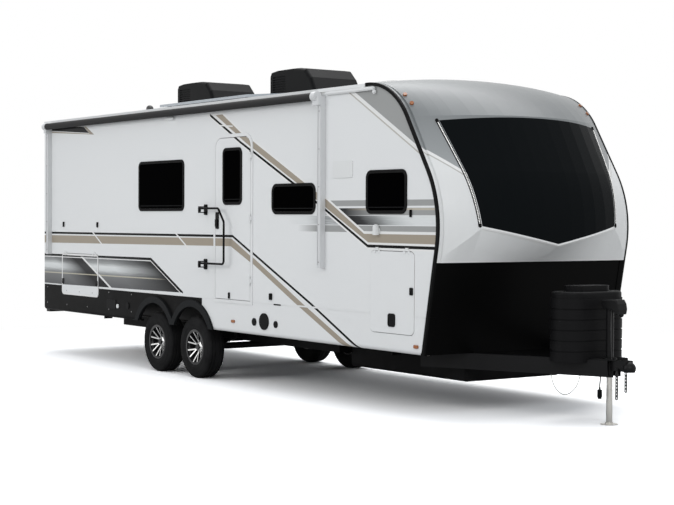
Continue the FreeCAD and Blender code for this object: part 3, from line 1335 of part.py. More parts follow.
def build():
    right = sidewall(right_windows, [baggage, kitchen], True)
    left = mirrored(sidewall(left_windows, [baggage], False))
    export("sidewall_right", right)
    export("sidewall_left", left)
    export("rear_wall", rear_wall())
    export("roof", roof())
    export("front_cap", front_cap())
    export("front_window", front_window())
    export("front_panel", front_panel())
    export("floor_deck", floor_deck())
    export("skirts_rear", [skirts(rear_x, skirt_split, [kitchen]), mirrored(skirts(rear_x, skirt_split, []))])
    front_right = skirts(skirt_split + joint_gap, nose_foot[0] + 100, [baggage])
    export("skirts_front", both_sides(front_right))
    export("fender_flares", both_sides(flare()))
    export("edge_trims", both_sides(edge_trim()))
    export("gutter_rails", both_sides(gutter()))
    export("window_frames", [window_ring(s) for s in right_windows] + [mirrored(window_ring(s)) for s in left_windows])
    export("window_panes", [window_pane(s) for s in right_windows] + [mirrored(window_pane(s)) for s in left_windows])
    export("door_frame", door_frame())
    export("entry_door", door_leaf())
    export("door_window_frame", door_window_ring())
    export("door_pane", door_window_pane())
    export("grab_handle", grab_handle())
    export("handle_brackets", handle_brackets())
    export("baggage_door_right", hatch_door(baggage, baggage_latches))
    export("baggage_door_left", mirrored(hatch_door(baggage, baggage_latches)))
    export("kitchen_door", hatch_door(kitchen, kitchen_latches))
    export("awning_roller", awning_roller())
    export("awning_arms", [awning_arm(x) for x in arm_xs])
    export("cooling_units", [cooler(x) for x in cooler_xs])
    export("solar_panel", solar_panel())
    export("roof_fittings", roof_fittings())
    export("side_fittings", side_fittings())
    export("marker_lamps", marker_lamps())
    export("tail_lamps", tail_lamps())
    export("chassis_rails", [chassis_rail(rail_y), chassis_rail(-rail_y)])
    export("crossmembers", crossmembers() + stabiliser_brackets())
    export("tongue_rails", both_sides(tongue_rail()))
    export("coupler", coupler())
    export("safety_chains", safety_chains())
    export("jack_housing", jack_housing())
    export("jack_leg", jack_leg())
    export("bottle_cover", bottle_cover())
    export("rear_bumper", rear_bumper())
    export("axles", [axle(x) for x in axle_xs.values()])
    export("leaf_springs", leaf_springs())
    for place, x in axle_xs.items():
        for hand, side in (("right", -1), ("left", 1)):
            export(f"tyre_{place}_{hand}", tyre(x, side))
            export(f"rim_{place}_{hand}", rim(x, side))
    for place, x in (("front", leg_xs[0]), ("rear", leg_xs[1])):
        for hand, side in (("right", -1), ("left", 1)):
            export(f"stabiliser_{place}_{hand}", stabiliser(x, side, place == "front"))
    export("tank_guard", [tank_guard()] + belly_pan())
    export("plug_cord", cord_tube(plug_cord, plug_cord_diameter, "plug cord"))
    export("plug", plug())
    export("ground_wire", cord_tube(ground_wire, ground_wire_diameter, "ground wire"))
    export("jack_cable", cord_tube(jack_cable, jack_cable_diameter, "jack cable"))


build()
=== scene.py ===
import math

import bmesh
import bpy
from mathutils import Matrix, Vector
from mathutils.bvhtree import BVHTree


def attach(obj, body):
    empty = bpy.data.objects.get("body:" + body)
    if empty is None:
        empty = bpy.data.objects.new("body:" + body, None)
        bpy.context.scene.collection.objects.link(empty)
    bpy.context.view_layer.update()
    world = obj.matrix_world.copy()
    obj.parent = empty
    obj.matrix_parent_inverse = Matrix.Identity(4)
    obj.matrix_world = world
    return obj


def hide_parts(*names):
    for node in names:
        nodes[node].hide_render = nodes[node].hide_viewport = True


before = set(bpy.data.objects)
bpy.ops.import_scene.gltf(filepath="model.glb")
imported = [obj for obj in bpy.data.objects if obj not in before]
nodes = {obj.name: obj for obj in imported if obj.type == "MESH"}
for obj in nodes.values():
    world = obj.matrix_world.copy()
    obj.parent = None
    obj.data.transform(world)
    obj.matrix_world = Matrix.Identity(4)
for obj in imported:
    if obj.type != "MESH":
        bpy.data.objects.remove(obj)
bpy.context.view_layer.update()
scene = bpy.context.scene
scene.view_settings.view_transform = "Standard"

# Viewpoint of the photograph: a long lens ahead of the nose and about nine metres out from the
# door side, close to the height of the windows, with the caravan running away to the left.
photo_width, focal_pixels, film_width = 674.0, 1510.6, 36.0
view_spot = (14.561, -9.918, 1.865)
view_yaw, view_pitch, view_roll = math.radians(54.96), math.radians(1.292), math.radians(0.27)
view_forward = Vector((-math.sin(view_yaw) * math.cos(view_pitch),
                       math.cos(view_yaw) * math.cos(view_pitch), -math.sin(view_pitch)))
view_level = Vector((math.cos(view_yaw), math.sin(view_yaw), 0.0))
view_up = view_level.cross(view_forward)
view_right = view_level * math.cos(view_roll) + view_up * math.sin(view_roll)
view_up = view_up * math.cos(view_roll) - view_level * math.sin(view_roll)
view_turn = Matrix((view_right, view_up, -view_forward)).transposed().to_4x4()
camera_data = bpy.data.cameras.new("viewpoint")
camera_data.lens = film_width * focal_pixels / photo_width
camera_data.sensor_width = film_width
camera_data.clip_end = 500.0
camera = bpy.data.objects.new("viewpoint", camera_data)
camera.matrix_world = Matrix.Translation(view_spot) @ view_turn
scene.collection.objects.link(camera)
scene.camera = camera

# Floor and light of a plain photographic studio: a white sheet that keeps the soft shadow,
# large soft boxes overhead, ahead and at the door side, and pale air all round.
world = bpy.data.worlds.new("studio")
world.use_nodes = True
scene.world = world
world_tree = world.node_tree
studio_light = world_tree.nodes["Background"]
studio_light.inputs["Color"].default_value = (0.93, 0.96, 1.0, 1.0)
studio_light.inputs["Strength"].default_value = 0.62
studio_white = world_tree.nodes.new("ShaderNodeBackground")
studio_white.inputs["Color"].default_value = (1.0, 1.0, 1.0, 1.0)
studio_white.inputs["Strength"].default_value = 1.0
light_path = world_tree.nodes.new("ShaderNodeLightPath")
seen = world_tree.nodes.new("ShaderNodeMath")
seen.operation = "MAXIMUM"
seen_through = world_tree.nodes.new("ShaderNodeMath")
seen_through.operation = "MAXIMUM"
world_mix = world_tree.nodes.new("ShaderNodeMixShader")
world_tree.links.new(light_path.outputs["Is Camera Ray"], seen.inputs[0])
world_tree.links.new(light_path.outputs["Is Glossy Ray"], seen.inputs[1])
world_tree.links.new(seen.outputs[0], seen_through.inputs[0])
world_tree.links.new(light_path.outputs["Is Transmission Ray"], seen_through.inputs[1])
world_tree.links.new(seen_through.outputs[0], world_mix.inputs[0])
world_tree.links.new(studio_light.outputs[0], world_mix.inputs[1])
world_tree.links.new(studio_white.outputs[0], world_mix.inputs[2])
world_tree.links.new(world_mix.outputs[0], world_tree.nodes["World Output"].inputs["Surface"])


class Wire:
    """One output of a material's nodes, for maths on numbers."""

    def __init__(self, finish, socket):
        self.finish, self.socket = finish, socket

    def maths(self, operation, *values, clamp=False):
        """One Math node on numbers or other wires."""
        return self.finish.node("ShaderNodeMath", {"operation": operation, "use_clamp": clamp},
                                {n: value for n, value in enumerate(values)})

    def __add__(self, other):
        return self.maths("ADD", self, other)

    __radd__ = __add__

    def __sub__(self, other):
        return self.maths("SUBTRACT", self, other)

    def __rsub__(self, other):
        return self.maths("SUBTRACT", other, self)

    def __mul__(self, other):
        return self.maths("MULTIPLY", self, other)

    __rmul__ = __mul__

    def __abs__(self):
        return self.maths("ABSOLUTE", self)

    def __gt__(self, other):
        return self.maths("GREATER_THAN", self, other)

    def __lt__(self, other):
        return self.maths("LESS_THAN", self, other)

    def clamped(self):
        return self.maths("ADD", self, 0.0, clamp=True)

    def over(self, low, high):
        """0 at low, 1 at high, and straight between."""
        return self.maths("MULTIPLY", self - low, 1.0 / (high - low), clamp=True)


class Finish:
    """A material as it is built up: nodes, colours and the settings of its shader."""

    def __init__(self, name, colour=(0.8, 0.8, 0.8), roughness=0.5, metallic=0.0, **settings):
        self.material = bpy.data.materials.new(name)
        self.material.use_nodes = True
        self.tree = self.material.node_tree
        self.shader = self.tree.nodes["Principled BSDF"]
        self.shader.inputs["Base Color"].default_value = (*colour, 1.0)
        self.shader.inputs["Roughness"].default_value = roughness
        self.shader.inputs["Metallic"].default_value = metallic
        for socket, value in settings.items():
            self.shader.inputs[socket.replace("_", " ")].default_value = value
        self.spot = None

    def node(self, kind, settings=None, inputs=None, output=0):
        """A new node: its settings first, then the values or links of its inputs."""
        made = self.tree.nodes.new(kind)
        for key, value in (settings or {}).items():
            if key == "stops":
                ramp = made.color_ramp
                while len(ramp.elements) < len(value):
                    ramp.elements.new(0.5)
                for element, (place, colour) in zip(ramp.elements, value):
                    element.position, element.color = place, (*colour, 1.0)
            else:
                setattr(made, key, value)
        for key, value in (inputs or {}).items():
            socket = made.inputs[key]
            if isinstance(value, Wire):
                self.tree.links.new(value.socket, socket)
            elif isinstance(value, (tuple, list)) and len(value) == 3 and socket.type == "RGBA":
                socket.default_value = (*value, 1.0)
            else:
                socket.default_value = value
        return Wire(self, made.outputs[output])

    def place(self):
        """Where the point lies on the piece, in the shared frame: x, y and z."""
        if self.spot is None:
            self.where = self.node("ShaderNodeTexCoord", output=3)
            split = self.node("ShaderNodeSeparateXYZ", inputs={0: self.where})
            self.spot = [Wire(self, split.socket.node.outputs[n]) for n in range(3)]
        return self.spot

    def noise(self, scale, detail=2.0, stretch=(1.0, 1.0, 1.0), rough=0.5):
        self.place()
        where = self.node("ShaderNodeMapping", inputs={"Vector": self.where, "Scale": stretch})
        return self.node("ShaderNodeTexNoise", inputs={"Vector": where, "Scale": scale, "Detail": detail,
                                                       "Roughness": rough})

    def mix(self, share, first, second):
        return self.node("ShaderNodeMix", {"data_type": "RGBA"}, {0: share, 6: first, 7: second}, output=2)

    def ramp(self, value, stops):
        return self.node("ShaderNodeValToRGB", {"stops": stops}, {0: value})

    def feed(self, socket, value):
        self.tree.links.new(value.socket, self.shader.inputs[socket])

    def grain(self, scale, detail, distance, strength, stretch=(1.0, 1.0, 1.0)):
        """Fine relief of the surface."""
        relief = self.noise(scale, detail, stretch)
        self.feed("Normal", self.node("ShaderNodeBump", inputs={"Height": relief, "Distance": distance,
                                                                "Strength": strength}))

    def uneven(self, scale, detail, low, spread, smooth, stretch=(1.0, 1.0, 1.0)):
        """Roughness that wanders up from smooth by as much as spread."""
        self.feed("Roughness", self.noise(scale, detail, stretch).over(low, 0.9) * spread + smooth)

    def on(self, *names):
        """Lay the finish on those nodes of the source model."""
        for name in names:
            mesh = nodes[name].data
            if not mesh.materials:
                mesh.materials.append(self.material)
            for slot in range(len(mesh.materials)):
                mesh.materials[slot] = self.material
        return self


floor_size = 160.0
floor_mesh = bpy.data.meshes.new("studio_floor")
floor_corners = [(floor_size * x, floor_size * y, 0.0) for x, y in ((-1, -1), (1, -1), (1, 1), (-1, 1))]
floor_mesh.from_pydata(floor_corners, [], [(0, 1, 2, 3)])
studio_floor = bpy.data.objects.new("studio_floor", floor_mesh)
scene.collection.objects.link(studio_floor)
floor_paint = Finish("studio_floor", (0.9, 0.9, 0.9), 0.9, Specular_IOR_Level=0.0)
floor_rays = floor_paint.node("ShaderNodeLightPath").socket.node
floor_seen = Wire(floor_paint, floor_rays.outputs["Is Camera Ray"])
floor_paint.feed("Base Color", floor_paint.mix(floor_seen, (0.55, 0.55, 0.55), (1.55, 1.55, 1.55)))
floor_paint.place()
floor_reach = floor_paint.node("ShaderNodeVectorMath", {"operation": "LENGTH"}, {0: floor_paint.where},
                               output=1)
shadow_ends, white_begins = 5.5, 9.0
floor_glow = floor_paint.node("ShaderNodeEmission", inputs={"Color": (1.0, 1.0, 1.0), "Strength": 1.0})
floor_any = (floor_seen + Wire(floor_paint, floor_rays.outputs["Is Glossy Ray"])
             + Wire(floor_paint, floor_rays.outputs["Is Transmission Ray"])).clamped()
floor_mix = floor_paint.node("ShaderNodeMixShader", inputs={
    0: floor_reach.over(shadow_ends, white_begins) * floor_any})
floor_tree = floor_paint.tree
floor_tree.links.new(floor_paint.shader.outputs[0], floor_mix.socket.node.inputs[1])
floor_tree.links.new(floor_glow.socket, floor_mix.socket.node.inputs[2])
floor_tree.links.new(floor_mix.socket, floor_tree.nodes["Material Output"].inputs["Surface"])
floor_mesh.materials.append(floor_paint.material)

for lamp_name, lamp_spot, lamp_aim, lamp_size, lamp_watts in (
        ("overhead_box", (-1.0, 1.5, 9.5), (-0.6, 0.2, 0.0), 12.0, 860.0),
        ("front_box", (13.0, -6.5, 6.5), (3.0, -0.5, 1.6), 7.0, 360.0),
        ("side_box", (-3.0, -13.0, 6.0), (-1.0, -1.0, 1.6), 9.0, 430.0)):
    lamp_data = bpy.data.lights.new(lamp_name, "AREA")
    lamp_data.shape = "RECTANGLE"
    lamp_data.size, lamp_data.size_y = lamp_size, lamp_size * 0.6
    lamp_data.energy = lamp_watts
    lamp = bpy.data.objects.new(lamp_name, lamp_data)
    lamp.location = lamp_spot
    lamp.rotation_euler = (Vector(lamp_aim) - Vector(lamp_spot)).to_track_quat("-Z", "Y").to_euler()
    scene.collection.objects.link(lamp)

# Side walls and skirts: laminated panels in gloss white gelcoat with vinyl stripes in black, taupe
# and grey, which run on over doors and hatches, so one pattern covers every panel. Stations count
# forward along the side from zero_x, a point between the two axles.
zero_x = -1.155
gelcoat_white = (0.775, 0.785, 0.785)
white_film = (0.80, 0.80, 0.79)
taupe = (0.36, 0.315, 0.255)
film_grey = (0.345, 0.35, 0.345)
stripe_black = (0.006, 0.006, 0.0065)


def stripe_pattern(finish):
    """The livery's colour at a point of the side, and 1 where that point is on an outer face."""
    x, y, z = finish.place()
    station = x - zero_x
    streaks = finish.noise(9.0, 4.0, (0.35, 1.0, 14.0), 0.62)
    soft = finish.noise(1.6, 2.0, (0.5, 1.0, 3.0))
    colour = finish.mix(soft.over(0.35, 0.75) * 0.06, gelcoat_white, (0.70, 0.72, 0.73))

    def height(points):
        """Height of a bent line at this station, level beyond both its ends."""
        total = points[0][1]
        for (x0, z0), (x1, z1) in zip(points, points[1:]):
            total = station.over(x0, x1) * (z1 - z0) + total
        return total

    def along(x0, x1):
        return (station > x0) * (station < x1)

    def area(lower, upper, x0, x1):
        """1 between two bent lines."""
        return (z > height(lower)) * (z < height(upper)) * along(x0, x1)

    def line(points, thick, lift=0.0):
        """1 on a bent line of that upright thickness."""
        return (abs(z - height(points) - lift) < thick / 2) * along(points[0][0], points[-1][0])

    def paint(mask, shade):
        nonlocal colour
        colour = finish.mix(mask, colour, shade)

    tail_end, nose_end = -3.80, 4.95
    # grey corner panel at the top of the nose, over a white line and a thin taupe one
    corner = [(3.50, 3.1696), (4.75, 2.4667)]
    paint(area(corner, [(3.5, 3.3)], 3.55, 4.9), film_grey)
    paint(line(corner, 0.042, -0.022), white_film)
    paint(line(corner, 0.017, -0.053), (0.50, 0.48, 0.44))
    # level bands across the nose, in film that fades out behind the awning arm
    past_arm = station.over(3.05, 3.20)
    paint(area([(3, 1.987)], [(3, 2.045)], 3.05, nose_end) * past_arm, film_grey)
    paint(area([(3, 1.898)], [(3, 1.968)], 2.90, nose_end) * past_arm, film_grey)
    paint(area([(3, 1.946)], [(3, 1.965)], 3.05, nose_end) * past_arm, (0.50, 0.46, 0.39))
    diagonal = station - (2.051 - z) * 1.905 - 3.130
    brushed = finish.ramp(diagonal.over(0.0, 1.0) + streaks * 0.34 - 0.17,
                          [(0.0, (0.010, 0.010, 0.011)), (0.22, (0.045, 0.046, 0.048)),
                           (0.5, (0.26, 0.27, 0.27)), (0.7, (0.52, 0.54, 0.54)), (1.0, (0.72, 0.74, 0.74))])
    behind = finish.mix(station.over(2.75, 3.15) * streaks.over(0.3, 0.7), (0.66, 0.68, 0.68),
                        (0.16, 0.165, 0.17))
    silver = finish.mix(diagonal > 0.0, behind, brushed)
    paint(area([(3, 1.803)], [(3, 1.891)], 2.40, nose_end) * station.over(2.42, 3.0), silver)
    paint(area([(3, 1.891)], [(3, 1.966)], 3.10, 3.95) * (diagonal > 0.0) * (1 - station.over(3.45, 3.95)),
          (0.035, 0.036, 0.038))
    paint(area([(3, 1.730)], [(3, 1.796)], 2.55, nose_end) * station.over(2.60, 2.95), film_grey)
    # diagonal from the roof edge down to the waist of the nose: black under taupe, outlined in white
    black_fall = [(0.780, 3.035), (1.450, 2.705), (2.541, 2.215), (3.113, 1.948), (3.830, 1.598),
                  (nose_end, 1.594)]
    taupe_top = [(1.056, 3.027), (1.449, 2.808), (1.729, 2.691), (2.747, 2.219), (3.130, 2.051),
                 (3.770, 1.716), (nose_end, 1.717)]
    taupe_foot = [(0.905, 3.028), (1.265, 2.842), (1.729, 2.615), (2.578, 2.232), (3.130, 1.964),
                  (3.842, 1.633), (nose_end, 1.630)]
    paint((z > height(black_fall) - 0.036) * (z < height(taupe_top) + 0.026) * along(0.72, nose_end),
          white_film)
    paint(area(taupe_foot, taupe_top, 0.905, nose_end), taupe)
    paint(line(black_fall, 0.029), stripe_black)
    paint(line([(0.96, 2.908), (1.28, 2.884)], 0.013), white_film)
    # long waist stripe that drops away behind the door
    black_waist = [(tail_end, 1.6505), (1.302, 1.6625), (2.849, 0.983), (3.72, 0.570)]
    waist_foot = [(tail_end, 1.513), (1.262, 1.550), (1.700, 1.372), (2.550, 0.978), (3.46, 0.575)]
    waist_top = [(tail_end, 1.617), (1.272, 1.637), (1.700, 1.443), (2.682, 0.985), (3.60, 0.575)]
    paint(area(waist_foot, waist_top, tail_end, 3.60), taupe)
    paint(line(black_waist, 0.028), stripe_black)
    for cut in (-2.249, -0.009):
        paint(line([(cut - 0.03, 1.693), (cut + 0.30, 1.507)], 0.022), white_film)
    # brushed field over the dark skirt, from silver into black, behind a slanted white line
    foot, brow = [(tail_end, 0.951), (0.170, 0.984)], [(tail_end, 1.347), (-0.632, 1.360), (0.163, 0.980)]
    part = (z - 0.951).over(0.0, 0.40)
    shade = finish.ramp(part + (streaks - 0.5) * 0.16,
                        [(0.0, (0.11, 0.112, 0.115)), (0.36, (0.19, 0.193, 0.195)),
                         (0.47, (0.30, 0.31, 0.31)), (0.58, (0.66, 0.68, 0.68)), (0.70, (0.74, 0.76, 0.76)),
                         (0.82, (0.33, 0.34, 0.34)), (1.0, (0.15, 0.155, 0.158))])
    to_end = (1.360 - z) * 2.09 - 0.632 - station
    to_slant = (1.364 - z) * 2.242 - 2.608 - station
    shade = finish.mix(1 - to_end.over(0.06, 1.25), shade, (0.007, 0.007, 0.0075))
    shade = finish.mix((to_slant > 0.0) * (1 - to_slant.over(0.30, 0.98)) * 0.96, shade,
                       (0.010, 0.010, 0.011))
    shade = finish.mix(line([(tail_end, 1.107), (-0.20, 1.125)], 0.013) * to_end.over(0.10, 0.60) * 0.75,
                       shade, (0.60, 0.56, 0.44))
    paint(area(foot, brow, tail_end, 0.170), shade)
    paint(line([(-2.640, 1.379), (-1.690, 0.954)], 0.030), white_film)
    paint(line(brow, 0.024, 0.004), stripe_black)
    paint(line([(tail_end, 1.325), (-0.645, 1.338), (0.110, 0.977)], 0.011), white_film)
    # short dark tab under the awning at the rear: black on white on taupe
    tab_end, tab_fall = -3.506, 0.078
    for foot_z, tip, tip_z, shoulder, reach, film in (
            (3.018, -2.205, 2.942, -2.440, -2.200, (0.34, 0.30, 0.25)),
            (3.036, -2.340, 2.958, -2.500, -2.340, white_film),
            (3.045, -2.353, 2.967, -2.510, -2.353, (0.010, 0.010, 0.011))):
        paint(area([(tab_end, foot_z), (tip, foot_z - tab_fall)],
                   [(tab_end, 3.100), (shoulder, 3.055), (tip, tip_z)], tab_end, reach), film)
    wall_face, skirt_face, skirt_top = 1.2155, 1.18, 0.94
    return colour, ((abs(y) > wall_face) + (z < skirt_top) * (abs(y) > skirt_face)).clamped()


side_paint = Finish("side_gelcoat", gelcoat_white, 0.22, Specular_IOR_Level=0.05)
pattern, outer_face = stripe_pattern(side_paint)
paint_y = side_paint.place()[1]


def near(finish, *boxes):
    """1 within any of the rectangles, each a station, a height and the half of both sizes."""
    px, py, pz = finish.place()
    total = None
    for x, z, half_x, half_z in boxes:
        box = (abs(px - (x + zero_x)) < half_x) * (abs(pz - z) < half_z)
        total = box if total is None else total + box
    return total.clamped()


# the rear hatch's raised rim stays white over the stripes, and paddle latches are black
lining_tan = (0.62, 0.58, 0.52)
rim_face, latch_face, door_latch_face = 1.2205, 1.2235, 1.2295
hatch_middle, hatch_half_x, hatch_half_z, rim_width = (-2.620, 1.1015), 0.556, 0.281, 0.028
hatch_rim = near(side_paint, (*hatch_middle, hatch_half_x, hatch_half_z)) * (
    1 - near(side_paint, (*hatch_middle, hatch_half_x - rim_width, hatch_half_z - rim_width)))
pattern = side_paint.mix(hatch_rim * (abs(paint_y) > rim_face), pattern, white_film)
latches = near(side_paint, (4.231, 0.897, 0.060, 0.068), (4.536, 1.183, 0.029, 0.040),
               (-3.124, 1.005, 0.029, 0.040), (-2.104, 1.005, 0.029, 0.040))
pattern = side_paint.mix(latches * (abs(paint_y) > latch_face), pattern, stripe_black)
door_latch = near(side_paint, (0.975, 1.835, 0.036, 0.102)) * (paint_y < -door_latch_face)
pattern = side_paint.mix(door_latch, pattern, stripe_black)
side_paint.feed("Base Color", side_paint.mix(outer_face, lining_tan, pattern))
side_paint.uneven(3.0, 3.0, 0.2, 0.12, 0.17)
side_paint.grain(1.1, 2.0, 0.004, 0.22)
side_paint.on("sidewall_right", "sidewall_left", "entry_door", "kitchen_door", "baggage_door_right",
              "baggage_door_left", "skirts_front")

# Rear wall, roof membrane and floor deck: plain white laminate behind, a pale rubber sheet on top,
# and plywood under the floor covering.
rear_paint = Finish("rear_gelcoat", gelcoat_white, 0.24, Coat_Weight=0.3, Coat_Roughness=0.08)
rear_x, _, rear_z = rear_paint.place()
rear_face, band_low, band_high = -4.88, 0.955, 1.336
rear_band = (rear_z > band_low) * (rear_z < band_high) * (rear_x < rear_face)
rear_paint.feed("Base Color", rear_paint.mix(rear_band, gelcoat_white, (0.36, 0.37, 0.365)))
rear_paint.grain(1.3, 2.0, 0.004, 0.2)
rear_paint.on("rear_wall")
membrane = Finish("roof_membrane", (0.70, 0.70, 0.69), 0.6)
membrane.feed("Base Color", membrane.mix(membrane.noise(2.5, 5.0, (0.6, 1.0, 1.0)).over(0.35, 0.8) * 0.3,
                                         (0.72, 0.72, 0.71), (0.55, 0.54, 0.51)))
membrane.grain(180.0, 3.0, 0.0015, 0.35)
membrane.on("roof")
deck_wood = Finish("deck_plywood", (0.36, 0.27, 0.17), 0.6)
deck_wood.feed("Base Color", deck_wood.ramp(deck_wood.noise(5.0, 6.0, (1.0, 9.0, 1.0)),
                                            [(0.3, (0.22, 0.16, 0.10)), (0.7, (0.40, 0.31, 0.20))]))
deck_wood.on("floor_deck")

# Front cap: one moulded fibreglass shell, grey down to a slanted white line at each side and white below it,
# with a folded chin under the window. Its grey carries painted light and shade from side to side.
cap_paint = Finish("cap_gelcoat", (0.7, 0.7, 0.7), 0.34, Specular_IOR_Level=0.25)
_, cap_y, cap_z = cap_paint.place()
cap_white, line_taupe = (0.82, 0.82, 0.81), (0.50, 0.49, 0.46)
line_foot, line_rise, chin_top, chin_foot = 1.538, 0.824, 1.9, 1.474
line_height = abs(cap_y) * line_rise + line_foot


def below_line(near_edge, far_edge):
    """1 on a band between two depths under the slanted line's upper edge, clear of the chin."""
    return (cap_z > line_height - far_edge) * (cap_z < line_height - near_edge) * (cap_z > chin_top)


# Grey of the cap: darker towards the top under a faint random cloud. It is painted lighter on the door side
# and darker on the far side, as painted light and shade.
cap_cloud = cap_paint.noise(0.8, 2.0).over(0.3, 0.8) * 0.25
cap_height = (cap_z.over(2.35, 3.02) + cap_cloud * 0.3).clamped()
grey_painted_lit_door_side = cap_paint.mix(cap_height, (0.345, 0.362, 0.367), (0.190, 0.202, 0.207))
grey_painted_shaded_far_side = cap_paint.mix(cap_height, (0.255, 0.270, 0.275), (0.140, 0.150, 0.154))
cap_grey_with_painted_light = cap_paint.mix(cap_y.over(-1.0, 0.2), grey_painted_lit_door_side, grey_painted_shaded_far_side)
cap_colour = cap_paint.mix((cap_z > line_height) * (cap_z > chin_top), (0.76, 0.77, 0.765), cap_grey_with_painted_light)
cap_colour = cap_paint.mix(below_line(0.0, 0.032), cap_colour, cap_white)
cap_colour = cap_paint.mix(below_line(0.038, 0.053), cap_colour, line_taupe)
cap_colour = cap_paint.mix(cap_z < chin_foot, cap_colour, cap_white)
cap_paint.feed("Base Color", cap_colour)
cap_paint.grain(0.9, 2.0, 0.006, 0.2)
cap_paint.on("front_cap")

# Front window, side windows and the door's pane: dark tinted glass, bonded flush in its frames,
# which lets nothing of the inside through and shows little but a faint gloss.
window_tint = Finish("window_tint", (0.0050, 0.0062, 0.0070), 0.30, Specular_IOR_Level=0.015)
window_tint.uneven(2.0, 3.0, 0.3, 0.06, 0.26)
window_tint.on("front_window")
pane_tint = Finish("pane_tint", (0.0006, 0.0006, 0.0007), 0.2, Specular_IOR_Level=0.001)
pane_tint.uneven(2.0, 3.0, 0.3, 0.06, 0.17)
pane_tint.on("window_panes", "door_pane")

# Lower panel of the nose: black laminate folded at the floor's height, with flanges turned back
# along its edges, set between the walls under the cap.
panel_black = Finish("nose_black", (0.0022, 0.0022, 0.0022), 0.34, Specular_IOR_Level=0.03)
panel_black.grain(1.2, 2.0, 0.005, 0.2)
panel_black.on("front_panel")

# Black mouldings: skirts behind the door, arch flares, edge trims, window frames and fittings,
# in satin plastic with a fine grain.
trim_black = Finish("trim_black", (0.008, 0.008, 0.008), 0.42, Specular_IOR_Level=0.03)
trim_black.feed("Base Color", trim_black.mix(trim_black.noise(4.0, 3.0).over(0.4, 0.8),
                                             (0.006, 0.006, 0.006), (0.011, 0.011, 0.0115)))
trim_black.grain(420.0, 2.0, 0.0008, 0.3)
trim_black.on("skirts_rear", "edge_trims", "window_frames", "door_window_frame", "plug", "grab_handle",
              "handle_brackets", "tank_guard")
flare_black = Finish("flare_black", (0.011, 0.012, 0.013), 0.5, Specular_IOR_Level=0.05)
flare_black.grain(380.0, 2.0, 0.0008, 0.35)
flare_black.on("fender_flares")

# White mouldings and small fittings: painted aluminium frame of the door and gutters along the
# roof, black or white plastic covers screwed on the walls, and white vents on the roof.
trim_white = Finish("trim_white", (0.74, 0.75, 0.75), 0.35)
trim_white.grain(300.0, 2.0, 0.0005, 0.2)
trim_white.on("door_frame", "gutter_rails")
fitting_paint = Finish("fitting_plastic", (0.008, 0.008, 0.0085), 0.4, Specular_IOR_Level=0.04)
wall_cover, porch_lamp = (3.409, 2.355, 0.175, 0.092), (3.998, 1.745, 0.055, 0.095)
lamp_rail, skirt_cover = (-0.1375, 3.035, 0.11, 0.03), (-1.510, 0.742, 0.030, 0.030)
hatch_hinges = [(station, z, 0.055, 0.035) for station, z in ((3.993, 1.570), (4.462, 1.570),
                                                              (-3.062, 1.395), (-2.178, 1.395))]
pale = near(fitting_paint, wall_cover, porch_lamp, lamp_rail, skirt_cover, *hatch_hinges)
fitting_paint.feed("Base Color", fitting_paint.mix(pale, (0.008, 0.008, 0.0085), (0.74, 0.75, 0.745)))
fitting_paint.grain(260.0, 2.0, 0.0006, 0.25)
fitting_paint.on("side_fittings")
roof_plastic = Finish("roof_plastic", (0.70, 0.70, 0.69), 0.4)
vent_cap = near(roof_plastic, (-1.270, 3.25, 0.06, 0.20))
roof_plastic.feed("Base Color", roof_plastic.mix(vent_cap, (0.68, 0.68, 0.67), (0.015, 0.015, 0.016)))
roof_plastic.grain(200.0, 2.0, 0.0006, 0.2)
roof_plastic.on("roof_fittings")

# Awning: black cloth rolled on its tube under the roof's edge, carried by white painted
# aluminium arms that fold flat against the wall.
awning_cloth = Finish("awning_cloth", (0.013, 0.013, 0.0135), 0.7, Specular_IOR_Level=0.25)
awning_cloth.grain(14.0, 4.0, 0.006, 0.5, (0.2, 1.0, 1.0))
awning_cloth.on("awning_roller")
arm_paint = Finish("arm_paint", (0.63, 0.64, 0.645), 0.35, 0.0)
arm_paint.grain(120.0, 2.0, 0.0005, 0.25)
arm_paint.on("awning_arms")

# Roof equipment: two cooling units under moulded dark covers, bolted over openings of the roof,
# and a glazed solar panel beside them.
cover_black = Finish("cover_black", (0.0040, 0.0043, 0.0048), 0.4, Specular_IOR_Level=0.06)
cover_black.grain(160.0, 2.0, 0.001, 0.35)
cover_black.on("cooling_units")
panel_glass = Finish("roof_panel_glass", (0.30, 0.33, 0.36), 0.25, 0.0, Coat_Weight=0.6)
panel_glass.uneven(3.0, 3.0, 0.3, 0.08, 0.21)
panel_glass.on("solar_panel")

# Lamps: amber marker lamps on the sides and the cap, and red tail lamps on the rear wall, each a
# moulded lens on a small base.
amber_lens = Finish("amber_lens", (0.30, 0.085, 0.010), 0.25, Coat_Weight=0.2)
amber_lens.grain(120.0, 2.0, 0.0006, 0.3)
amber_lens.on("marker_lamps")
red_lens = Finish("red_lens", (0.35, 0.01, 0.01), 0.25, Coat_Weight=0.6)
red_lens.grain(120.0, 2.0, 0.0006, 0.3)
red_lens.on("tail_lamps")

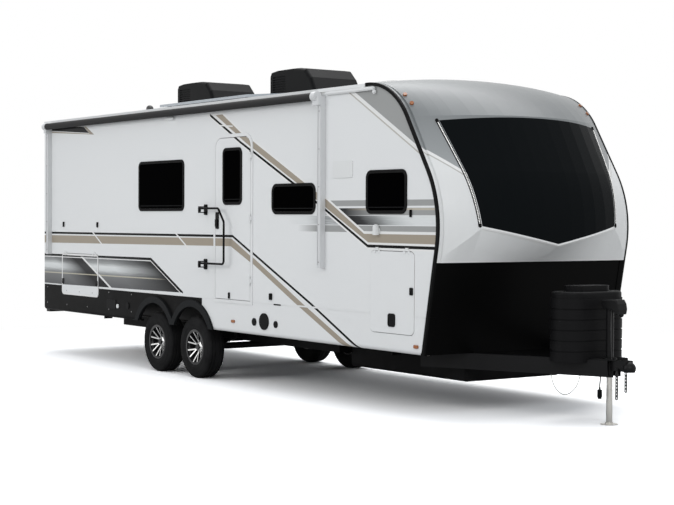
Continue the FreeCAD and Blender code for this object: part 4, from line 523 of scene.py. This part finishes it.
# Chassis, drawbar, axles, stabilisers and jack head in black enamel over welded steel, the gas
# bottles' cover in moulded polyethylene, the jack's leg and the safety chains in plated steel.
chassis_black = Finish("chassis_black", (0.0065, 0.0065, 0.007), 0.38, Specular_IOR_Level=0.14)
chassis_black.uneven(6.0, 4.0, 0.2, 0.3, 0.28)
chassis_black.grain(60.0, 4.0, 0.0008, 0.3)
chassis_black.on("chassis_rails", "crossmembers", "tongue_rails", "coupler", "jack_housing", "rear_bumper",
                 "axles", "leaf_springs", "stabiliser_front_right", "stabiliser_front_left",
                 "stabiliser_rear_right", "stabiliser_rear_left")
gas_cover = Finish("gas_cover", (0.0055, 0.0055, 0.006), 0.5, Specular_IOR_Level=0.08)
gas_cover.grain(240.0, 3.0, 0.001, 0.4)
gas_cover.on("bottle_cover")
bright_zinc = Finish("bright_zinc", (0.62, 0.61, 0.58), 0.3, 1.0)
bright_zinc.uneven(40.0, 4.0, 0.2, 0.25, 0.18, (1.0, 1.0, 0.1))
bright_zinc.on("jack_leg")
chain_steel = Finish("chain_steel", (0.05, 0.05, 0.05), 0.5, 0.8)
chain_steel.uneven(80.0, 3.0, 0.2, 0.2, 0.4)
chain_steel.on("safety_chains")

# Free cords at the drawbar: the power cord that hangs with its plug under the door-side rail,
# the thin white earth wire in a loop below the rail, and the jack's own cable.
drawbar_low = 0.440


def cord_line(name, points, diameter, finish):
    """Round cord along points given as station and y in millimetres and height in metres."""
    curve = bpy.data.curves.new(name, "CURVE")
    curve.dimensions = "3D"
    curve.bevel_depth = diameter / 2
    curve.bevel_resolution = 3
    curve.use_fill_caps = True
    spline = curve.splines.new("NURBS")
    spline.points.add(len(points) - 1)
    for point, (station, y, z) in zip(spline.points, points):
        point.co = (station / 1000 + zero_x, y / 1000, z, 1.0)
    spline.order_u = 3
    spline.use_endpoint_u = True
    spline.resolution_u = 8
    cord = bpy.data.objects.new(name, curve)
    scene.collection.objects.link(cord)
    curve.materials.append(finish.material)
    return cord


cord_black = Finish("cord_black", (0.018, 0.018, 0.019), 0.55)
cord_black.grain(900.0, 2.0, 0.0004, 0.3)
cord_white = Finish("cord_white", (0.17, 0.17, 0.155), 0.5)
cord_white.grain(700.0, 2.0, 0.0003, 0.3)

plug_route = [(5893, -104, drawbar_low), (5893, -104, drawbar_low - 0.028),
              (5897, -116, drawbar_low - 0.066), (5897, -116, drawbar_low - 0.095)]
plug_cord = cord_line("trailer_cord", plug_route, 0.012, cord_black)
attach(plug_cord, "root")
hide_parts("plug_cord")

wire_route = [(5452, -300, -0.0006), (5459, -297, -0.045), (5479, -287, -0.110), (5520, -268, -0.165),
              (5569, -244, -0.190), (5619, -220, -0.172), (5668, -197, -0.120), (5697, -183, -0.055),
              (5708, -178, -0.0006)]
earth_wire = cord_line("earth_wire", [(x, y, drawbar_low + z) for x, y, z in wire_route], 0.007, cord_white)
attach(earth_wire, "root")
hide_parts("ground_wire")

jack_route = [(5955, -35, 1.0496), (5957, -39, 0.985), (5975, -57, 0.925), (5990, -72, 0.860),
              (5998, -79, 0.790), (5998, -77, 0.720), (5992, -66, 0.655), (5988, -57, 0.6013)]
jack_cord = cord_line("jack_cord", jack_route, 0.009, cord_black)
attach(jack_cord, "root")
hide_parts("jack_cable")

# Wheels: cast rims, black with the spokes' faces machined bright, six nuts on each hub, and road
# tyres of black rubber with four grooves round the tread and notched shoulders.
tyre_radius, tyre_middle = 0.3595, 1.0875
wheel_places = (("front", 0.390 + zero_x), ("rear", -0.524 + zero_x))
rim_metal = Finish("rim_metal", (0.012, 0.012, 0.013), 0.28)
rim_out = abs(rim_metal.place()[1])
rim_normal = rim_metal.node("ShaderNodeTexCoord", output=1)
rim_facing = abs(rim_metal.node("ShaderNodeSeparateXYZ", inputs={0: rim_normal}, output=1))
# the spokes' faces lean a little; steep walls and the faces square to the axle stay black
hub_face, lip_face, steepest, flattest = 1.118, 1.196, 0.78, 0.9995
machined = (rim_out > hub_face) * (rim_out < lip_face) * (rim_facing > steepest) * (rim_facing < flattest)
rim_metal.feed("Metallic", machined)
rim_metal.feed("Base Color", rim_metal.mix(machined, (0.012, 0.012, 0.013), (0.88, 0.88, 0.87)))
rim_metal.uneven(60.0, 3.0, 0.2, 0.12, 0.24)
tyre_rubber = Finish("tyre_rubber", (0.013, 0.013, 0.0135), 0.72, Specular_IOR_Level=0.06)
tyre_rubber.feed("Base Color", tyre_rubber.mix(tyre_rubber.noise(7.0, 5.0).over(0.35, 0.8),
                                               (0.010, 0.010, 0.0105), (0.019, 0.019, 0.0195)))
tyre_rubber.grain(220.0, 3.0, 0.001, 0.3)


def add_piece(name, mesh, finish, body):
    """A new piece of the object, already in place in its mesh."""
    piece = bpy.data.objects.new(name, mesh)
    if not mesh.materials:
        mesh.materials.append(finish.material)
    scene.collection.objects.link(piece)
    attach(piece, body)
    return piece


def skin_rows(work, rows):
    """Faces between each row of points and the next."""
    for row, after in zip(rows, rows[1:]):
        for n in range(len(row) - 1):
            work.faces.new((row[n], row[n + 1], after[n + 1], after[n]))


def mesh_of(work, name, sharp=None):
    """Plain mesh of the finished work, smooth where its edges are blunter than sharp degrees."""
    bmesh.ops.recalc_face_normals(work, faces=work.faces)
    mesh = bpy.data.meshes.new(name)
    work.to_mesh(mesh)
    work.free()
    if sharp:
        mesh.shade_smooth()
        mesh.set_sharp_from_angle(angle=math.radians(sharp))
    return mesh


def spun_tyre(name, centre_x, side):
    """Tyre of one revolved section: half width and radius from the bead to the tread's middle."""
    bead = [(0.0890, 0.1922), (0.0945, 0.1924), (0.0946, 0.2068)]
    wall = [(0.1035, 0.2080), (0.1085, 0.2230), (0.1115, 0.2420), (0.1121, 0.2500), (0.1104, 0.2515),
            (0.1104, 0.2545), (0.1123, 0.2560), (0.1124, 0.2750), (0.1112, 0.2980), (0.1096, 0.3050)]
    shoulder = [(0.1078, 0.3060), (0.1060, 0.3190), (0.1015, 0.3330), (0.0965, 0.3440), (0.0900, 0.3510),
                (0.0800, 0.3560), (0.0720, 0.3575)]
    tread = [(0.0705, 0.3500), (0.0625, 0.3500), (0.0610, 0.3582), (0.0340, 0.3590), (0.0325, 0.3505),
             (0.0245, 0.3505), (0.0230, 0.3592), (0.0, 0.3593)]
    half = bead + wall + shoulder + tread
    section = half + [(-width, radius) for width, radius in reversed(half[:-1])]
    steps, notch_every, notch_depth, notch_from, notch_to = 144, 3, 0.0045, 0.079, 0.097
    work = bmesh.new()
    rings = []
    for step in range(steps):
        angle = 2 * math.pi * step / steps
        ring = []
        for width, radius in section:
            if step % notch_every == 0 and notch_from < abs(width) < notch_to:
                radius -= notch_depth
            ring.append(work.verts.new((centre_x + radius * math.cos(angle), side * tyre_middle + width,
                                        tyre_radius + radius * math.sin(angle))))
        rings.append(ring)
    skin_rows(work, rings + rings[:1])
    return mesh_of(work, name, 35)


for place, middle_x in wheel_places:
    for hand, side in (("right", -1), ("left", 1)):
        wheel = f"{place}_{hand}"
        rim_metal.on(f"rim_{wheel}")
        tyre_mesh = spun_tyre(f"road_tyre_{wheel}", middle_x, side)
        tyre = add_piece(f"road_tyre_{wheel}", tyre_mesh, tyre_rubber, f"wheel_{wheel}")
        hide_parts(f"tyre_{wheel}")

# Bright bead strips down both sides of the front window, each a row of rounded metal beads on a
# black channel that follows the cap, with a moulded clip at either end.
head_tree = bpy.data.node_groups.new("row_of_heads", "GeometryNodeTree")
for label, kind in (("Geometry", "Geometry"), ("Pitch", "Float"), ("Radius", "Float"), ("Height", "Float"),
                    ("Facing", "Vector"), ("Material", "Material")):
    head_tree.interface.new_socket(label, in_out="INPUT", socket_type=f"NodeSocket{kind}")
head_tree.interface.new_socket("Geometry", in_out="OUTPUT", socket_type="NodeSocketGeometry")
tree_in, tree_out = head_tree.nodes.new("NodeGroupInput"), head_tree.nodes.new("NodeGroupOutput")
as_curve = head_tree.nodes.new("GeometryNodeMeshToCurve")
spaced = head_tree.nodes.new("GeometryNodeResampleCurve")
spaced.mode = "LENGTH"
ball = head_tree.nodes.new("GeometryNodeMeshUVSphere")
ball.inputs["Segments"].default_value = 14
ball.inputs["Rings"].default_value = 8
aim = head_tree.nodes.new("FunctionNodeAlignRotationToVector")
size = head_tree.nodes.new("ShaderNodeCombineXYZ")
size.inputs["X"].default_value = size.inputs["Y"].default_value = 1.0
set_heads = head_tree.nodes.new("GeometryNodeInstanceOnPoints")
solid = head_tree.nodes.new("GeometryNodeRealizeInstances")
coat = head_tree.nodes.new("GeometryNodeSetMaterial")
for start, end in ((tree_in.outputs["Geometry"], as_curve.inputs["Mesh"]),
                   (as_curve.outputs["Curve"], spaced.inputs["Curve"]),
                   (tree_in.outputs["Pitch"], spaced.inputs["Length"]),
                   (tree_in.outputs["Radius"], ball.inputs["Radius"]),
                   (tree_in.outputs["Height"], size.inputs["Z"]),
                   (tree_in.outputs["Facing"], aim.inputs["Vector"]),
                   (spaced.outputs["Curve"], set_heads.inputs["Points"]),
                   (ball.outputs["Mesh"], set_heads.inputs["Instance"]),
                   (aim.outputs["Rotation"], set_heads.inputs["Rotation"]),
                   (size.outputs["Vector"], set_heads.inputs["Scale"]),
                   (set_heads.outputs["Instances"], solid.inputs["Geometry"]),
                   (solid.outputs["Geometry"], coat.inputs["Geometry"]),
                   (tree_in.outputs["Material"], coat.inputs["Material"]),
                   (coat.outputs["Geometry"], tree_out.inputs["Geometry"])):
    head_tree.links.new(start, end)


def head_row(name, lines, pitch, radius, height, facing, finish, body="root"):
    """Rounded heads at that pitch along each line of points, all facing one way, as one plain mesh.

    Height is a share of the radius."""
    line_mesh = bpy.data.meshes.new(name)
    spots = [point for line in lines for point in line]
    edges = []
    for line in lines:
        first = spots.index(line[0])
        edges += [(first + n, first + n + 1) for n in range(len(line) - 1)]
    line_mesh.from_pydata(spots, edges, [])
    holder = bpy.data.objects.new(name, line_mesh)
    scene.collection.objects.link(holder)
    modifier = holder.modifiers.new("heads", "NODES")
    modifier.node_group = head_tree
    values = {"Pitch": pitch, "Radius": radius, "Height": height, "Facing": facing,
              "Material": finish.material}
    for item in head_tree.interface.items_tree:
        if item.in_out == "INPUT" and item.name in values:
            modifier[item.identifier] = values[item.name]
    bpy.context.view_layer.update()
    mesh = bpy.data.meshes.new_from_object(holder.evaluated_get(bpy.context.evaluated_depsgraph_get()))
    bpy.data.objects.remove(holder)
    mesh.name = name
    mesh.shade_smooth()
    return add_piece(name, mesh, finish, body)


bead_metal = Finish("bead_metal", (0.78, 0.78, 0.77), 0.22, 1.0)
bead_metal.uneven(90.0, 2.0, 0.2, 0.2, 0.14)
screw_steel = Finish("screw_steel", (0.30, 0.30, 0.30), 0.4, 0.9)
screw_steel.grain(500.0, 2.0, 0.0004, 0.3)
cap_tree = BVHTree.FromObject(nodes["front_cap"], bpy.context.evaluated_depsgraph_get())


def on_cap(y, z, out=0.0):
    """Point of the cap's surface at that y and z, and out from it."""
    spot, normal, index, reach = cap_tree.ray_cast(Vector((6.0, y, z)), Vector((-1.0, 0.0, 0.0)))
    return spot + normal * out


window_top, window_low = (0.9898, 2.790), (0.8497, 1.800)


def beside_window(side, share, out_y, lift):
    """Point of the cap beside the window's edge, share of the way down it, and lifted off the cap."""
    edge_y = window_top[0] + (window_low[0] - window_top[0]) * share
    z = window_top[1] + (window_low[1] - window_top[1]) * share
    return on_cap(side * (edge_y + out_y), z, lift)


channel_section = ((0.006, 0.0), (0.009, 0.004), (0.031, 0.004), (0.034, 0.0))
channel_middle, channel_top, channel_steps = 0.020, 0.004, 40
for hand, side in (("right", -1), ("left", 1)):
    work = bmesh.new()
    rows = []
    for n in range(channel_steps + 1):
        share = 0.015 + 0.97 * n / channel_steps
        rows.append([work.verts.new(beside_window(side, share, out_y, lift))
                     for out_y, lift in channel_section])
    skin_rows(work, rows)
    for row in (rows[0], rows[-1]):
        work.faces.new(row)
    add_piece(f"bead_channel_{hand}", mesh_of(work, f"bead_channel_{hand}"), trim_black, "root")
    outwards = (0.85, side * 0.45, 0.25)
    beads = [beside_window(side, n / channel_steps, channel_middle, channel_top)
             for n in range(1, channel_steps)]
    head_row(f"window_beads_{hand}", [beads], 0.0150, 0.0074, 0.75, outwards, bead_metal)
    clips = [[beside_window(side, share + step, channel_middle, 0.003) for step in (0.0, 0.012)]
             for share in (0.0, 0.985)]
    head_row(f"bead_clips_{hand}", clips, 0.012, 0.017, 0.6, outwards, trim_black)

# Raised white lip moulded on the cap along the slanted lower edges of the front window, from its
# two lower corners down to its tip: depth under the glass and lift off the cap.
tip_z = min(vert.co.z for vert in nodes["front_window"].data.vertices)
lip_section, lip_steps = ((0.004, 0.0), (0.015, 0.009), (0.027, 0.007), (0.034, 0.0)), 30
work = bmesh.new()
for side in (-1, 1):
    rows = []
    for n in range(lip_steps + 1):
        share = 0.01 + 0.99 * n / lip_steps
        y, z = side * window_low[0] * (1 - share), window_low[1] + (tip_z - window_low[1]) * share
        rows.append([work.verts.new(on_cap(y, z - depth) + Vector((lift, 0.0, 0.0)))
                     for depth, lift in lip_section])
    skin_rows(work, rows)
    work.faces.new(rows[0])
lip_mesh = mesh_of(work, "window_lip")
lip_paint = Finish("lip_white", (0.80, 0.80, 0.79), 0.3, Specular_IOR_Level=0.3)
lip_paint.grain(60.0, 2.0, 0.0005, 0.2)
add_piece("window_lip", lip_mesh, lip_paint, "root")

# Screws of the awning's arms, the kitchen hatch and the skirts, and the six nuts of each hub:
# plated steel heads in rows, driven square to the side.
side_y, arm_face, nut_face, nut_ring = 1.219, 1.2815, 1.1360, 0.047


def wall_hit(node, station, z):
    """Point of that node's outer face on the door side."""
    tree = BVHTree.FromObject(nodes[node], bpy.context.evaluated_depsgraph_get())
    return tree.ray_cast(Vector((station + zero_x, -2.0, z)), Vector((0.0, 1.0, 0.0)))[0]


door_side = (0.0, -1.0, 0.0)
for label, station in (("rear", -3.5325), ("front", 3.0715)):
    arm_ends = [(station + zero_x, -arm_face, z) for z in (1.42, 2.95)]
    head_row(f"arm_screws_{label}", [arm_ends], 0.38, 0.006, 0.5, door_side, screw_steel)
hatch_ends = [wall_hit("kitchen_door", station, 0.878) for station in (-3.025, -2.240)]
head_row("kitchen_hatch_screws", [hatch_ends], 0.39, 0.008, 0.45, door_side, screw_steel, "kitchen_door")
for hand, side in (("right", -1), ("left", 1)):
    square = (0.0, float(side), 0.0)
    skirt_rows = [[(x, side * side_y, z) for x in (-4.80, -2.30)] for z in (0.905, 0.690)]
    head_row(f"skirt_screws_{hand}", skirt_rows, 0.62, 0.008, 0.45, square, screw_steel)
    for place, middle_x in wheel_places:
        ring = [(middle_x + nut_ring * math.cos(math.pi * n / 3), side * nut_face,
                 tyre_radius + nut_ring * math.sin(math.pi * n / 3)) for n in range(6)]
        head_row(f"hub_nuts_{place}_{hand}", [ring], nut_ring, 0.0085, 0.8, square, screw_steel,
                 f"wheel_{place}_{hand}")

# Belt moulding over the joint of wall and skirt, the gutter's end over the nose window, the meeting
# rails of the sliding windows, and the catches that hold hatches and door open: small extrusions of
# painted metal and black plastic, screwed or bonded on the side.


def slim_bars(name, bars, finish, body="root", bevel=0.0015):
    """Bars with softened edges, each given by its lowest and highest corner, as one mesh."""
    work = bmesh.new()
    for low, high in bars:
        made = bmesh.ops.create_cube(work, size=1.0)["verts"]
        middle = (Vector(low) + Vector(high)) / 2
        spread = Vector(high) - Vector(low)
        for vert in made:
            vert.co = Vector([c * d for c, d in zip(vert.co, spread)]) + middle
    bmesh.ops.bevel(work, geom=work.edges[:], offset=bevel, segments=2, affect="EDGES")
    return add_piece(name, mesh_of(work, name, 40), finish, body)


def side_bar(side, x0, x1, z0, z1, inner, outer):
    """Corners of a bar on a side wall, from stations, heights and distances from the middle."""
    y0, y1 = sorted((side * inner, side * outer))
    return (x0 + zero_x, y0, z0), (x1 + zero_x, y1, z1)


belt_low, belt_high, belt_out = 0.943, 0.959, 0.0035
belt_runs = ([(-1, *run) for run in ((-3.745, -3.186), (-2.054, 0.876), (1.722, 3.870), (4.585, 4.770))]
             + [(1, *run) for run in ((-3.745, 3.870), (4.585, 4.770))])
belt = [side_bar(side, x0, x1, belt_low, belt_high, side_y, side_y + belt_out) for side, x0, x1 in belt_runs]
slim_bars("belt_moulding", belt, trim_white)
gutter_end = [side_bar(-1, 3.132, 3.955, 3.108, 3.142, side_y + 0.002, side_y + 0.040),
              side_bar(-1, 3.930, 3.972, 3.070, 3.112, side_y + 0.004, side_y + 0.034)]
slim_bars("gutter_end", gutter_end, trim_white, bevel=0.009)
# side, first and last station and sill height of each sliding window
window_places = [(-1, -0.947, 0.192, 1.943), (-1, 2.099, 2.929, 1.905), (-1, 3.805, 4.457, 1.911),
                 (1, -3.000, -2.200, 1.943), (1, -0.900, 0.850, 1.943), (1, 3.805, 4.457, 1.911)]
frame_width, rail_low, rail_high = 0.033, 0.060, 0.067
window_rail = Finish("window_rail", (0.010, 0.0105, 0.011), 0.3, Specular_IOR_Level=0.03)
window_rail.grain(300.0, 2.0, 0.0004, 0.2)
rails = [side_bar(side, x0 + frame_width, x1 - frame_width, z0 + rail_low, z0 + rail_high, side_y + 0.002,
                  side_y + 0.005) for side, x0, x1, z0 in window_places]
slim_bars("window_rails", rails, window_rail, bevel=0.001)
door_rail = side_bar(-1, 1.124, 1.470, 2.068, 2.075, side_y + 0.012, side_y + 0.015)
slim_bars("door_window_rail", [door_rail], window_rail, "entry_door", bevel=0.001)
door_face = -wall_hit("entry_door", 1.240, 1.0).y
door_catch = side_bar(-1, 1.228, 1.252, 0.965, 1.035, door_face, door_face + 0.018)
slim_bars("door_catch", [door_catch], trim_black, "entry_door", bevel=0.004)
catch_out = 0.022
catches = [side_bar(-1, x - half_x, x + half_x, z - 0.035, z + 0.035, side_y, side_y + catch_out)
           for x, z, half_x in ((4.523, 1.915, 0.011), (-3.108, 1.768, 0.011), (-2.083, 1.768, 0.011),
                                (2.090, 1.025, 0.022))]
slim_bars("hatch_catches", catches, trim_black, bevel=0.004)
belt_joint = side_bar(-1, 2.144, 2.281, 0.937, 0.951, side_y + 0.002, side_y + 0.006)
slim_bars("belt_joint", [belt_joint], trim_black)
